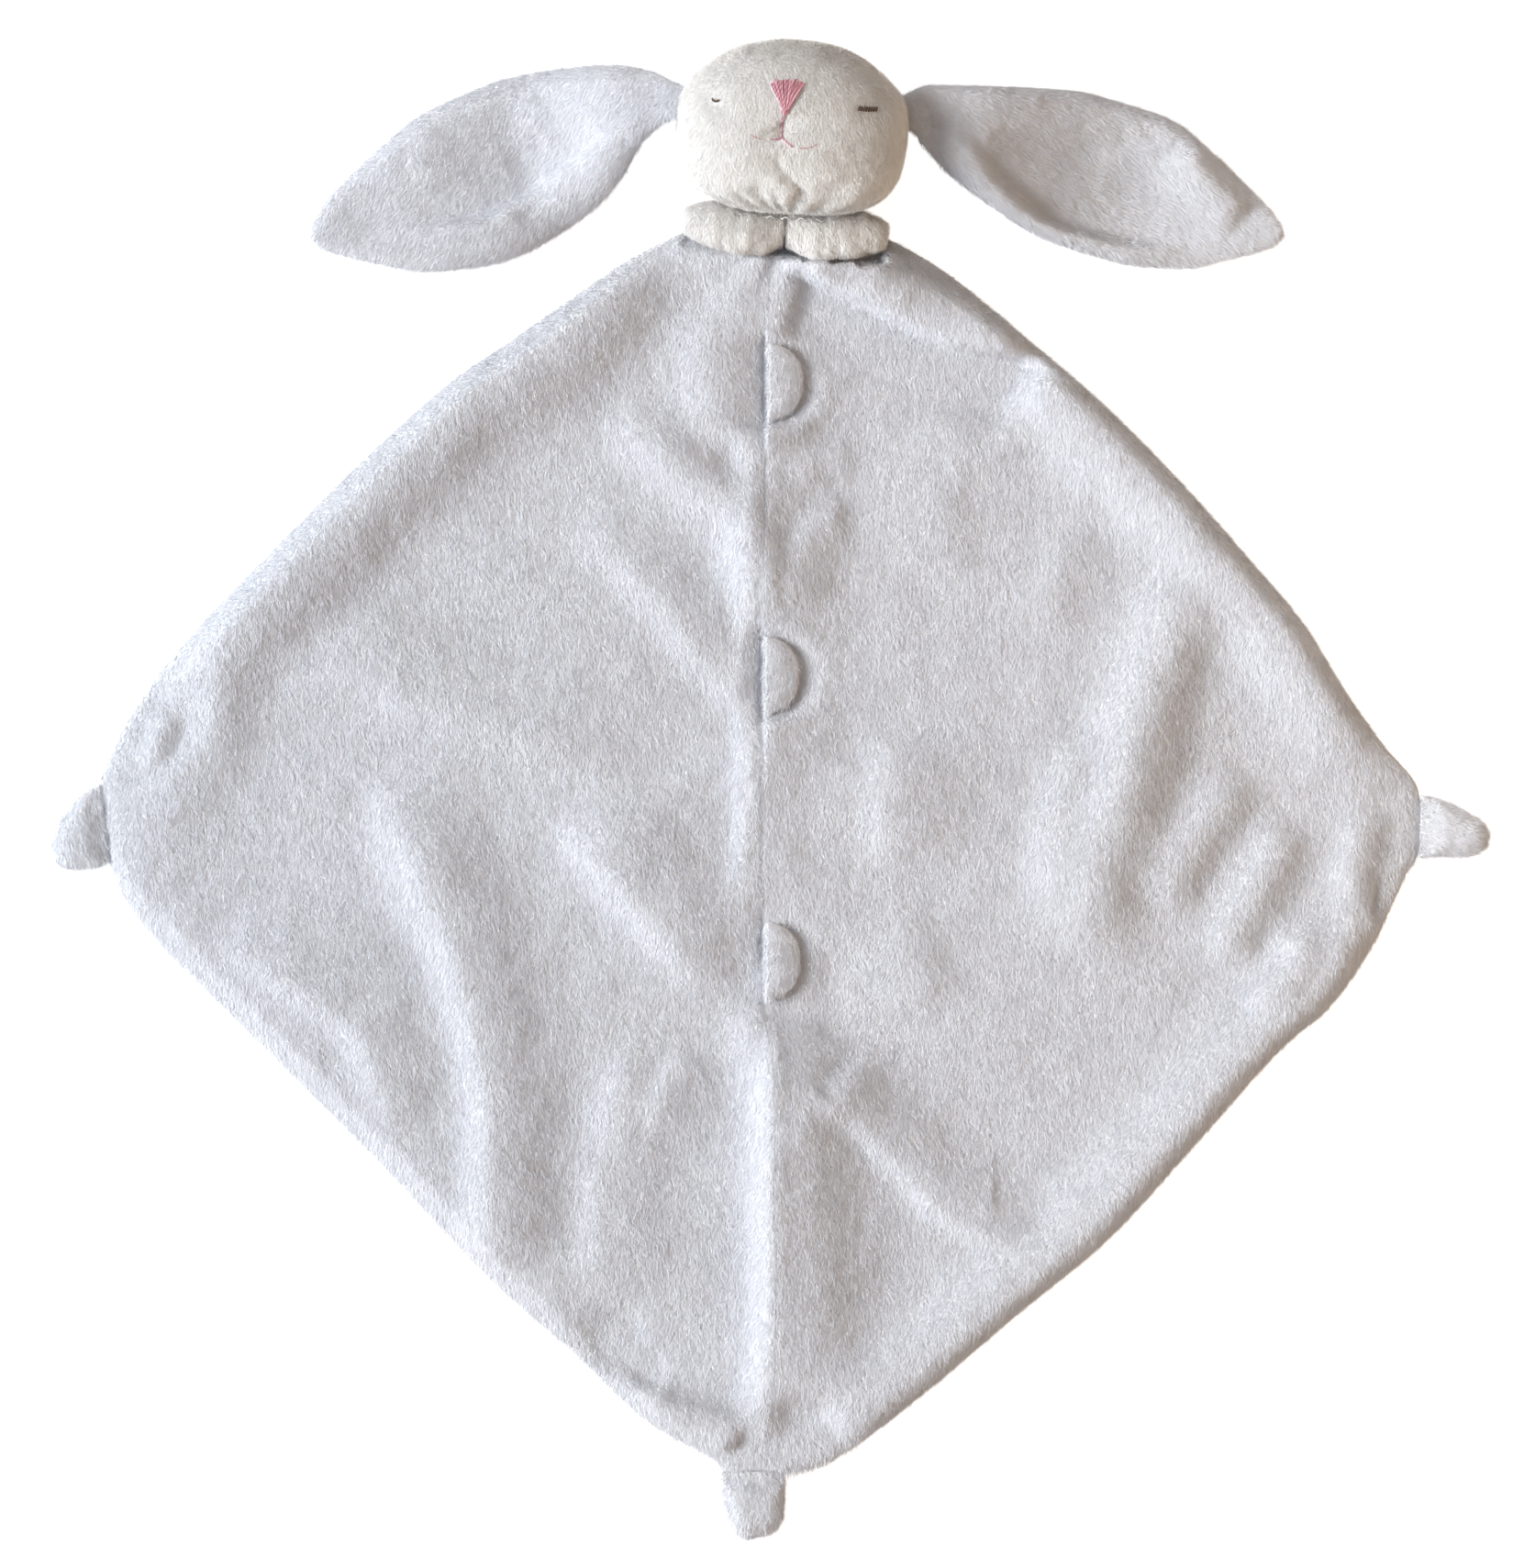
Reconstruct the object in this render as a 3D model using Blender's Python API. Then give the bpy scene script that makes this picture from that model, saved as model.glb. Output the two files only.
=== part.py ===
"""Comfort blanket with a bunny's head, made of short-pile plush, lying on its back.

The blanket is a square held by one corner, so it lies as a diamond: the head at +Y, a paw at each of
the other three corners, and a seam down the middle that holds three half-moon tabs.
X runs to the viewer's right, Z up from the surface that it lies on.
The origin is on that surface, in the middle of the whole object.
"""

import math

import bmesh
import bpy
from mathutils import Matrix, Vector

MM = 0.001

# Cloth
PLUSH = 3.0 * MM                 # one layer of plush with its pile
GAP = 0.3 * MM                   # kept between pieces that touch
FLAT_CUT = 0.5 * MM              # depth that a round form gives where it rests on the surface

# Blanket, measured across its corners
BLANKET_WIDTH = 474.0 * MM
BLANKET_LENGTH = 446.5 * MM      # from the collar's axis to the bottom corner
BLANKET_OFFSET = -2.6 * MM       # its middle lies a little to the left of the seam
NECK_Y = 200.5 * MM              # the collar's axis, up from the origin
NECK_X = 6.0 * MM
TONGUE = 5.0 * MM                # the back cloth runs this far past the collar's axis
EDGE_THICKNESS = 2.0 * MM        # the front cloth, where it is sewn to the back

# Folds of the front cloth: height and half-width of a full fold
FOLD_HEIGHT = 9.0 * MM
FOLD_WIDTH = 14.0 * MM
FOLD_TOP = 15.0 * MM             # folds that cross come nearer to this height, and never pass it
NECK_RISE = 6.0 * MM             # the front cloth lifts this much where it is gathered
NECK_RISE_WIDTH = 40.0 * MM
NECK_RISE_RUN = 26.0 * MM

# Tabs on the seam
TAB_LENGTH = 28.0 * MM
TAB_REACH = 13.5 * MM
TAB_THICKNESS = 5.0 * MM
TAB_TIP = 1.2 * MM               # width left at the two ends of the half-moon
TAB_EDGE = 1.2 * MM              # thickness at the arc

# Corner paws
PAW_LENGTH = 25.0 * MM
PAW_WIDTH = 21.0 * MM
PAW_THICKNESS = 7.0 * MM
PAW_EDGE = 1.4 * MM

# Head, before it is cut flat where it rests
HEAD_WIDTH = 84.0 * MM
HEAD_HEIGHT = 64.0 * MM
HEAD_DEPTH = 60.0 * MM
HEAD_REACH = 37.6 * MM           # from the collar's axis to the middle of the head
HEAD_COVER = 2.0 * MM
HEAD_FILLING_GAP = 0.5 * MM
HEAD_LEAN = -4.0                 # degrees, turned about Z

# Ears
EAR_LENGTH = 139.5 * MM
EAR_WIDTH = 60.0 * MM
EAR_THICKNESS = 6.4 * MM
EAR_EDGE = 1.6 * MM
EAR_ROOT_RADIUS = 3.0 * MM       # the root is round about its seam, which is its hinge
EAR_ROOT_SIDE = (44.35 * MM, 43.7 * MM)   # hinge from the head's middle, sideways: left, right
EAR_ROOT_UP = (6.5 * MM, 9.2 * MM)   # hinge from the head's middle, towards its top: left, right
EAR_CUP = 6.0 * MM               # the edges stand this much above the middle
EAR_DROP_RUN = 62.0 * MM         # length in which the ear comes down to the surface
EAR_DROOP = (23.2, 13.6)         # degrees below the head's own level: left, right
EAR_SEAM_SLANT = 34.0            # degrees between the root's seam and the ear's own width

# Collar
COLLAR_RADIUS = 8.0 * MM
COLLAR_LENGTH = 37.0 * MM        # one roll
COLLAR_PINCH = 0.8 * MM          # left between the two rolls

# Threads
THREAD = 1.1 * MM
NECK_THREAD_LENGTH = 52.0 * MM
NECK_THREAD_ANGLE = 62.0         # degrees round the collar, up from level
NOSE_WIDTH = 12.5 * MM
NOSE_HEIGHT = 11.5 * MM
NOSE_THICKNESS = 1.4 * MM
NOSE_POINT = 1.6 * MM            # width left at its lower point
NOSE_SIDE = -3.2 * MM            # from the head's middle; the seam of the face runs through it
NOSE_UP = 10.0 * MM
NOSE_STEM = 9.0 * MM
MOUTH_REACH = 5.0 * MM
MOUTH_DROP = 3.4 * MM
EYE_SPACING = 54.2 * MM
EYE_SHIFT = -0.9 * MM             # their middle, from the head's middle
EYE_UP = 7.5 * MM
EYE_WIDTH = 6.0 * MM
EYE_SAG = 1.6 * MM

# How finely the soft forms are divided
PANEL_COLUMNS = 16
UPPER_ROWS = 16
CORNER_ROWS = 2
LOWER_ROWS = 17
EAR_DIVISIONS = (13, 6)
PAW_DIVISIONS = (6, 6)
TAB_DIVISIONS = (8, 4)
HEAD_DIVISIONS = (26, 16)
COLLAR_DIVISIONS = (14, 10)
EYE_STEPS = 6
STEM_STEPS = 5
MOUTH_STEPS = 3
SEARCH_STEPS = 40

# Outline of the blanket: how far down from the collar, and how far out, as shares of its size
CORNER_START_share = 0.449
CORNER_END_share = 0.506
LEFT_EDGE_shares = [
    (0.020, 0.200), (0.092, 0.397), (0.199, 0.639), (0.329, 0.876), (0.385, 0.957),
    (CORNER_START_share, 1.0), (CORNER_END_share, 1.0),
    (0.568, 0.929), (0.693, 0.692), (0.858, 0.389), (0.964, 0.166), (1.0, 0.065),
]
RIGHT_EDGE_shares = [
    (0.020, 0.249), (0.083, 0.401), (0.201, 0.638), (0.314, 0.824), (0.414, 0.948),
    (CORNER_START_share, 1.0), (CORNER_END_share, 1.0),
    (0.546, 0.958), (0.630, 0.856), (0.736, 0.661), (0.873, 0.391), (0.933, 0.250),
    (0.985, 0.112), (1.0, 0.040),
]
SEAM_shares = [(0.0, 0.011), (0.35, 0.001), (0.60, 0.003), (0.70, 0.019), (0.95, 0.014), (1.0, 0.003)]
RIM_share = 0.955                # the last column but one
TAB_ROOM_share = (1.7, 1.0)      # room kept flat under a tab, of its reach and its length
TAB_RISE_share = 0.45            # slope of the cloth that a tab turns over onto, beside its seam
CORNER_RISE_share = 0.2          # slope of the cloth that the bottom paw turns over onto

# Folds: points (out from the middle, down from the collar), then shares of a full fold's height and of
# its width, on the left and on the right of the way the points run
FOLD_shares = [
    ([(-0.119, 0.021), (-0.246, 0.061), (-0.320, 0.090)], 0.94, 1.21, 0.57),
    ([(-0.377, 0.111), (-0.614, 0.218)], 0.32, 1.21, 0.57),
    ([(-0.660, 0.240), (-0.815, 0.328), (-0.904, 0.407)], 0.94, 1.21, 0.57),
    ([(-0.805, 0.323), (-0.822, 0.357), (-0.837, 0.405), (-0.887, 0.439), (-0.958, 0.459),
     (-1.010, 0.467)], 0.67, 0.57, 0.39),
    ([(-0.092, 0.037), (-0.067, 0.070), (-0.055, 0.110), (-0.045, 0.147),
     (-0.037, 0.191)], 0.89, 1.57, 1.00),
    ([(-0.238, 0.135), (-0.159, 0.174), (-0.096, 0.199), (-0.043, 0.225), (-0.012, 0.263),
     (-0.003, 0.316)], 0.66, 0.70, 0.68),
    ([(-0.308, 0.229), (-0.239, 0.254), (-0.172, 0.282), (-0.086, 0.341),
     (-0.014, 0.380)], 0.36, 0.90, 0.49),
    ([(-0.796, 0.401), (-0.714, 0.369), (-0.619, 0.354), (-0.415, 0.394), (-0.289, 0.415),
     (-0.170, 0.452)], 0.38, 1.79, 0.69),
    ([(-0.294, 0.452), (-0.254, 0.491), (-0.198, 0.530), (-0.126, 0.570),
     (-0.034, 0.612)], 0.70, 1.76, 0.64),
    ([(-0.581, 0.416), (-0.557, 0.457), (-0.459, 0.584), (-0.424, 0.653), (-0.407, 0.811),
     (-0.424, 0.855)], 0.70, 1.43, 0.65),
    ([(-0.173, 0.629), (-0.198, 0.692), (-0.229, 0.751), (-0.240, 0.811),
     (-0.259, 0.866)], 0.38, 1.46, 0.67),
    ([(-0.836, 0.562), (-0.708, 0.605), (-0.607, 0.645), (-0.571, 0.691),
     (-0.532, 0.742)], 0.47, 1.74, 0.49),
    ([(-0.256, 0.890), (-0.198, 0.923), (-0.141, 0.950), (-0.072, 0.961),
     (-0.032, 0.978)], 0.50, 0.43, 0.43),
    ([(-0.937, 0.519), (-0.889, 0.556), (-0.813, 0.598), (-0.535, 0.748), (-0.368, 0.840),
     (-0.257, 0.891)], 0.21, 1.65, 0.33),
    ([(-0.022, 0.094), (-0.014, 0.168), (-0.011, 0.257), (-0.014, 0.442), (-0.022, 0.538),
     (-0.019, 0.597)], 0.47, 1.44, 0.41),
    ([(-0.020, 0.615), (-0.001, 0.656), (0.009, 0.708), (0.015, 0.870), (0.008, 0.937),
     (-0.000, 0.980)], 0.40, 0.39, 0.66),
    ([(0.029, 0.619), (0.024, 0.700), (0.024, 0.796), (0.024, 0.878), (0.015, 0.952)], 1.39, 1.71, 0.38),
    ([(0.154, 0.047), (0.241, 0.074), (0.395, 0.096), (0.463, 0.111)], 0.94, 1.14, 0.32),
    ([(0.398, 0.096), (0.579, 0.194), (0.663, 0.242), (0.797, 0.327), (0.867, 0.381),
     (0.972, 0.449)], 1.36, 1.43, 1.07),
    ([(0.050, 0.308), (0.059, 0.266), (0.092, 0.232), (0.143, 0.221)], 0.33, 0.36, 0.64),
    ([(0.218, 0.178), (0.279, 0.159), (0.360, 0.161), (0.429, 0.185)], 0.33, 0.43, 0.64),
    ([(0.653, 0.270), (0.628, 0.314), (0.587, 0.374), (0.518, 0.503), (0.493, 0.553),
     (0.465, 0.595)], 0.94, 1.00, 0.93),
    ([(0.509, 0.396), (0.461, 0.452), (0.444, 0.504), (0.439, 0.560)], 0.33, 0.57, 0.57),
    ([(0.745, 0.434), (0.689, 0.471), (0.636, 0.512), (0.600, 0.552)], 0.44, 0.57, 0.79),
    ([(0.809, 0.469), (0.770, 0.510), (0.731, 0.549), (0.683, 0.595)], 0.47, 0.64, 0.57),
    ([(0.208, 0.390), (0.199, 0.449), (0.204, 0.523)], 0.53, 1.65, 0.55),
    ([(0.251, 0.538), (0.237, 0.586), (0.251, 0.638)], 0.28, 0.68, 0.66),
    ([(0.943, 0.461), (0.911, 0.490), (0.900, 0.519), (0.907, 0.550), (0.924, 0.560),
     (0.951, 0.541)], 0.72, 0.36, 0.50),
    ([(0.824, 0.553), (0.819, 0.583), (0.789, 0.609), (0.725, 0.628)], 0.47, 0.39, 0.57),
    ([(0.084, 0.690), (0.151, 0.716), (0.215, 0.750), (0.290, 0.792), (0.348, 0.805),
     (0.425, 0.792)], 0.44, 1.21, 0.38),
    ([(0.936, 0.546), (0.836, 0.619), (0.788, 0.641), (0.505, 0.802), (0.370, 0.862),
     (0.107, 0.974)], 1.00, 1.07, 1.07),
]

# Where the middle of each tab lies, down from the collar
TAB_shares = {"tab_upper": 0.121, "tab_middle": 0.357, "tab_lower": 0.587}

# The ear's two edges: how far along, and how far out as a share of the ear's width
EAR_UPPER_shares = [
    (0.0, 0.125), (0.06, 0.20), (0.16, 0.31), (0.38, 0.44), (0.65, 0.42), (0.83, 0.26), (1.0, 0.05),
]
EAR_LOWER_shares = [
    (0.0, 0.125), (0.06, 0.20), (0.16, 0.32), (0.38, 0.48), (0.60, 0.53), (0.82, 0.40), (1.0, 0.10),
]
EAR_SWELL_shares = [(0.0, 0.94), (0.10, 1.0), (0.60, 1.0), (1.0, 0.60)]
TIP_BOW_share = 0.30             # how far the end of a lobe is rounded back at its sides
PAW_END_share = 0.78             # width left at the end of a paw
PAW_HEADING = {"paw_left": 215.0, "paw_right": -9.5, "paw_bottom": -90.0}
NOSE_BOW_share = 0.16
HEAD_TOP_EXPONENT = 2.1          # of the head's form: 2 is an ellipsoid, more is fuller
HEAD_CHIN_EXPONENT = 3.1


def clear_scene():
    for thing in list(bpy.data.objects):
        bpy.data.objects.remove(thing)


def new_collection(name):
    collection = bpy.data.collections.new(name)
    bpy.context.scene.collection.children.link(collection)
    return collection


def new_material(name, colour, roughness):
    material = bpy.data.materials.new(name)
    material.use_nodes = True
    shader = material.node_tree.nodes["Principled BSDF"]
    shader.inputs["Base Color"].default_value = (*colour, 1)
    shader.inputs["Roughness"].default_value = roughness
    shader.inputs["Metallic"].default_value = 0
    material.diffuse_color = (*colour, 1)
    return material


def curve_through(table, place):
    """Value at a place, on a smooth curve through (place, value) pairs that never overshoots them."""
    places = [row[0] for row in table]
    values = [row[1] for row in table]
    if place <= places[0]:
        return values[0]
    if place >= places[-1]:
        return values[-1]
    steps = [after - before for before, after in zip(places, places[1:])]
    rises = [(after - before) / step for before, after, step in zip(values, values[1:], steps)]

    def slope(index):
        if index in (0, len(rises)):
            return rises[min(index, len(rises) - 1)]
        before, after = rises[index - 1], rises[index]
        return 2 * before * after / (before + after) if before * after > 0 else 0

    span = max(index for index, start in enumerate(places[:-1]) if start <= place)
    step = steps[span]
    share = (place - places[span]) / step
    return (
        values[span] * (1 + 2 * share) * (1 - share) ** 2
        + values[span + 1] * share**2 * (3 - 2 * share)
        + step * slope(span) * share * (1 - share) ** 2
        - step * slope(span + 1) * share**2 * (1 - share)
    )


def mix(start, end, share):
    return start + (end - start) * share


def add_mesh(name, mesh, material, parent=None):
    """Object from a bmesh in its parent's axes, with its faces pointing out."""
    bmesh.ops.recalc_face_normals(mesh, faces=mesh.faces)
    data = bpy.data.meshes.new(name)
    mesh.to_mesh(data)
    mesh.free()
    data.materials.append(material)
    data.shade_smooth()
    data.set_sharp_from_angle(angle=math.radians(50))
    part = bpy.data.objects.new(name, data)
    PARTS.objects.link(part)
    part.parent = parent
    return part


def add_thread(name, points, radius, material, parent=None):
    """Thread along a list of points, with filled ends."""
    data = bpy.data.curves.new(name, "CURVE")
    data.dimensions = "3D"
    data.bevel_depth = radius
    data.bevel_resolution = 1
    data.use_fill_caps = True
    spline = data.splines.new("POLY")
    spline.points.add(len(points) - 1)
    for slot, point in zip(spline.points, points):
        slot.co = (*point, 1)
    data.materials.append(material)
    part = bpy.data.objects.new(name, data)
    PARTS.objects.link(part)
    part.parent = parent
    return part


def add_joint(name, place, turn=0.0, parent=None):
    """Empty on a joint's axis, turned about Z by an angle in degrees."""
    joint = bpy.data.objects.new(name, None)
    PARTS.objects.link(joint)
    joint.empty_display_size = THREAD
    joint.location = place
    joint.rotation_euler = (0, 0, math.radians(turn))
    joint.parent = parent
    return joint


def slab(divisions, lower, upper):
    """Closed soft slab whose two faces follow lower(u, v) and upper(u, v), with u and v from 0 to 1.

    Slabs that lie on each other with the same divisions have the same facets where they face.
    """
    mesh = bmesh.new()
    bmesh.ops.create_grid(mesh, x_segments=divisions[0], y_segments=divisions[1], size=1)
    bmesh.ops.triangulate(mesh, faces=mesh.faces, quad_method="FIXED")
    base = list(mesh.verts)
    lifted = bmesh.ops.extrude_face_region(mesh, geom=mesh.faces[:] + mesh.edges[:], use_keep_orig=True)
    top = [item for item in lifted["geom"] if isinstance(item, bmesh.types.BMVert)]
    for verts, face in ((base, lower), (top, upper)):
        for vert in verts:
            vert.co = face((vert.co.x + 1) / 2, (vert.co.y + 1) / 2)
    return mesh


# Blanket


def blanket_point(side, row, out):
    """Place on the blanket, from a share down its length and a share out from the seam to the edge."""
    edge = LEFT_EDGE_shares if side < 0 else RIGHT_EDGE_shares
    seam = curve_through(SEAM_shares, row) * BLANKET_WIDTH / 2 + side * GAP / 2
    rim = side * curve_through(edge, row) * BLANKET_WIDTH / 2
    x = BLANKET_OFFSET + mix(seam, rim, out)
    lean = math.tan(math.radians(HEAD_LEAN)) * (x - NECK_X)
    return x, NECK_Y - row * BLANKET_LENGTH + lean * (1 - row) ** 12


def distance_to_line(x, y, line):
    """Distance from a place to a line of points, and whether the place lies on the line's left."""
    place = Vector((x, y))
    nearest = []
    for start, end in zip(line, line[1:]):
        run = end - start
        share = min(1, max(0, (place - start).dot(run) / run.length_squared))
        nearest.append(((place - start - run * share).length, run.cross(place - start) > 0))
    return min(nearest)


def fold_lift(x, y):
    """How far the folds raise the front cloth."""
    lift = 0
    for line_shares, height_share, left_share, right_share in FOLD_shares:
        line = [
            Vector((BLANKET_OFFSET + out * BLANKET_WIDTH / 2, NECK_Y - down * BLANKET_LENGTH))
            for out, down in line_shares
        ]
        away, on_left = distance_to_line(x, y, line)
        width = FOLD_WIDTH * (left_share if on_left else right_share)
        lift += FOLD_HEIGHT * height_share * math.exp(-((away / width) ** 2))
    return FOLD_TOP * math.tanh(lift / FOLD_TOP)


def fold_room(x, y):
    """Most that the cloth may rise, so that it lies flat under a tab and tabs and paw turn over freely."""
    across_share, along_share = TAB_ROOM_share
    room = CORNER_RISE_share * (y - NECK_Y + BLANKET_LENGTH)
    for row in TAB_shares.values():
        seam_x, seam_y = blanket_point(1, row, 0)
        if abs(y - seam_y) <= TAB_LENGTH * along_share:
            if -TAB_THICKNESS / 2 <= x - seam_x <= TAB_REACH * across_share:
                room = 0
            elif x < seam_x:
                room = min(room, TAB_RISE_share * (seam_x - x))
    return max(0, room)


def panel_row(share):
    """Share down the blanket of each row, so that rows fall on the ends of the corner's straight edge."""
    rows = (UPPER_ROWS, CORNER_ROWS, LOWER_ROWS)
    first = (COLLAR_RADIUS + GAP) / BLANKET_LENGTH
    ends = (first, CORNER_START_share, CORNER_END_share, 1.0)
    index = share * sum(rows)
    for count, start, end in zip(rows, ends, ends[1:]):
        if index <= count:
            return mix(start, end, index / count)
        index -= count
    return 1.0


def panel_column(share):
    """Share out from the seam, with the last column close to the edge."""
    column = round(share * PANEL_COLUMNS)
    return RIM_share * column / (PANEL_COLUMNS - 1) if column < PANEL_COLUMNS else 1.0


def neck_lift(x, y):
    """Rise of the front cloth towards the gathered neck."""
    across = (x - NECK_X) / NECK_RISE_WIDTH
    down = max(0, NECK_Y - y) / NECK_RISE_RUN
    return NECK_RISE * math.exp(-(across**2) - down**2)


def blanket_front(name, side, material):
    """Front cloth on one side of the seam, with the folds it lies in."""

    def lower(u, v):
        row, out = panel_row(1 - v), panel_column(u)
        x, y = blanket_point(side, row, out)
        hold = 1 - out**10
        lift = min(fold_lift(x, y) + neck_lift(x, y), fold_room(x, y)) * hold
        return Vector((x, y, PLUSH + GAP + lift))

    def upper(u, v):
        point = lower(u, v)
        point.z += EDGE_THICKNESS if panel_column(u) == 1 else PLUSH
        return point

    rows = UPPER_ROWS + CORNER_ROWS + LOWER_ROWS
    return add_mesh(name, slab((PANEL_COLUMNS, rows), lower, upper), material)


def blanket_back(name, material):
    """Back cloth, one flat piece, with a tongue that runs under the collar."""
    rows = UPPER_ROWS + CORNER_ROWS + LOWER_ROWS
    rims = {
        side: [blanket_point(side, panel_row(index / rows), 1) for index in range(rows + 1)]
        for side in (-1, 1)
    }
    tongue = [(NECK_X + side * COLLAR_LENGTH, NECK_Y + TONGUE) for side in (-1, 1)]
    outline = rims[1] + rims[-1][::-1] + tongue
    data = bpy.data.curves.new(name, "CURVE")
    data.dimensions = "2D"
    data.fill_mode = "BOTH"
    data.extrude = PLUSH / 2
    spline = data.splines.new("POLY")
    spline.points.add(len(outline) - 1)
    for slot, (x, y) in zip(spline.points, outline):
        slot.co = (x, y, 0, 1)
    spline.use_cyclic_u = True
    data.materials.append(material)
    part = bpy.data.objects.new(name, data)
    PARTS.objects.link(part)
    part.location.z = PLUSH / 2
    return part


# Tabs and paws


def add_tab(name, row, material):
    """Half-moon tab in the seam, of two layers, hinged on the seam."""
    x, y = blanket_point(1, row, 0)
    rest = PLUSH + GAP + PLUSH + GAP
    joint = add_joint(name + "_seam", (x, y, rest + TAB_THICKNESS / 2))

    def place(u, v, height):
        along = 2 * u - 1
        reach = mix(TAB_TIP, TAB_REACH, (1 - abs(along) ** 2.4) ** 0.5)
        return Vector((v * reach, -along * TAB_LENGTH / 2, height))

    def half(u, v):
        swell = (1 - v**3) ** 0.5 * (1 - abs(2 * u - 1) ** 4) ** 0.5
        return mix(TAB_EDGE, TAB_THICKNESS, swell) / 2

    layers = {
        "outer": (lambda u, v: place(u, v, GAP / 2), lambda u, v: place(u, v, half(u, v))),
        "inner": (lambda u, v: place(u, v, -half(u, v)), lambda u, v: place(u, v, -GAP / 2)),
    }
    for layer, (lower, upper) in layers.items():
        add_mesh(f"{name}_{layer}", slab(TAB_DIVISIONS, lower, upper), material, joint)


def add_paw(name, place, seat, material):
    """Paw of two layers at a corner, hinged where its top meets the corner's edge.

    The seat is the direction of that edge's outward normal, in degrees, and the paw's heading may
    differ from it.
    """
    joint = add_joint(name + "_seam", (*place, PAW_THICKNESS), seat)
    heading = math.radians(PAW_HEADING[name] - seat)
    drift = math.tan(heading)
    length = PAW_LENGTH * math.cos(heading)

    def spot(u, v, height):
        side = 2 * v - 1
        width = PAW_WIDTH * mix(1, PAW_END_share, u**3)
        along = u * length * (1 - TIP_BOW_share * side**4 * u**2)
        return Vector((GAP / 2 + along, side * width / 2 + along * drift, height - PAW_THICKNESS / 2))

    def half(u, v):
        swell = (1 - (2 * v - 1) ** 4) ** 0.5 * (1 - u**5) ** 0.5
        return mix(PAW_EDGE, PAW_THICKNESS - GAP, swell) / 2

    layers = {
        "front": (lambda u, v: spot(u, v, GAP / 2), lambda u, v: spot(u, v, half(u, v))),
        "back": (lambda u, v: spot(u, v, -half(u, v)), lambda u, v: spot(u, v, -GAP / 2)),
    }
    for layer, (lower, upper) in layers.items():
        add_mesh(f"{name}_{layer}", slab(PAW_DIVISIONS, lower, upper), material, joint)


# Head


def head_halves(shrink):
    """Half sizes of the head's form, or of a form inside it."""
    return [size / 2 - shrink for size in (HEAD_WIDTH, HEAD_HEIGHT, HEAD_DEPTH)]


def head_reach(direction):
    """How far the head's form reaches from its middle in a direction, as a share of its half sizes."""
    chin = min(1, max(0, 0.5 - direction.y))
    power = mix(HEAD_TOP_EXPONENT, HEAD_CHIN_EXPONENT, chin)
    return sum(abs(part) ** power for part in direction) ** (-1 / power)


def head_point(direction, shrink=0.0):
    """Point of the head's form in a direction, cut flat where the head rests."""
    halves = head_halves(shrink)
    reach = head_reach(direction)
    point = Vector([part * reach * half for part, half in zip(direction, halves)])
    point.z = max(point.z, FLAT_CUT - halves[2])
    return point


def face_height(x, y):
    """Height of the face above the head's middle, over a place on it."""
    halves = head_halves(0)
    low, high = 0, halves[2]
    for _ in range(SEARCH_STEPS):
        middle = (low + high) / 2
        scaled = Vector([part / half for part, half in zip((x, y, middle), halves)])
        inside = scaled.length < head_reach(scaled.normalized())
        low, high = (middle, high) if inside else (low, middle)
    return low


def head_ball(shrink=0.0):
    """Mesh of the head's form, with its poles at the top of the head and at the chin."""
    mesh = bmesh.new()
    bmesh.ops.create_uvsphere(mesh, u_segments=HEAD_DIVISIONS[0], v_segments=HEAD_DIVISIONS[1], radius=1)
    bmesh.ops.rotate(mesh, verts=mesh.verts, matrix=Matrix.Rotation(math.radians(90), 3, "X"))
    for vert in mesh.verts:
        vert.co = head_point(vert.co.normalized(), shrink)
    return mesh


def head_panel(name, keeps, material, joint):
    """Panel of the head's cover: the part of the form on the kept side of each seam, given a thickness."""
    mesh = head_ball()
    seam = Vector((NOSE_SIDE, 0, 0))
    for normal in keeps:
        normal = Vector(normal)
        bmesh.ops.bisect_plane(
            mesh,
            geom=mesh.verts[:] + mesh.edges[:] + mesh.faces[:],
            plane_co=seam + normal * GAP / 2,
            plane_no=normal,
            clear_inner=True,
        )
    inner = bmesh.ops.extrude_face_region(mesh, geom=mesh.faces[:] + mesh.edges[:], use_keep_orig=True)
    for vert in inner["geom"]:
        if isinstance(vert, bmesh.types.BMVert):
            direction = Vector([part / half for part, half in zip(vert.co, head_halves(0))])
            vert.co = head_point(direction.normalized(), HEAD_COVER)
    return add_mesh(name, mesh, material, joint)


def add_nose(joint, material):
    """Fan of satin stitches: a bowed top edge, narrowing to a point."""

    def place(u, v, height):
        width = mix(NOSE_POINT, NOSE_WIDTH, v)
        across = (2 * u - 1) * width / 2
        bow = NOSE_HEIGHT * NOSE_BOW_share * (2 * u - 1) ** 2 * v
        x = NOSE_SIDE + across
        y = NOSE_UP + (v - 0.5) * NOSE_HEIGHT - bow
        return Vector((x, y, face_height(x, y) + height))

    mesh = slab(TAB_DIVISIONS, lambda u, v: place(u, v, GAP), lambda u, v: place(u, v, NOSE_THICKNESS))
    return add_mesh("nose", mesh, material, joint)


def face_thread(name, places, joint, material):
    """Thread laid on the face along a list of places."""
    lift = THREAD / 2 + GAP
    points = [(x, y, face_height(x, y) + lift) for x, y in places]
    return add_thread(name, points, THREAD / 2, material, joint)


def line_between(start, end, steps):
    """Places at equal steps from one place to another."""
    return [
        tuple(mix(before, after, index / steps) for before, after in zip(start, end))
        for index in range(steps + 1)
    ]


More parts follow.
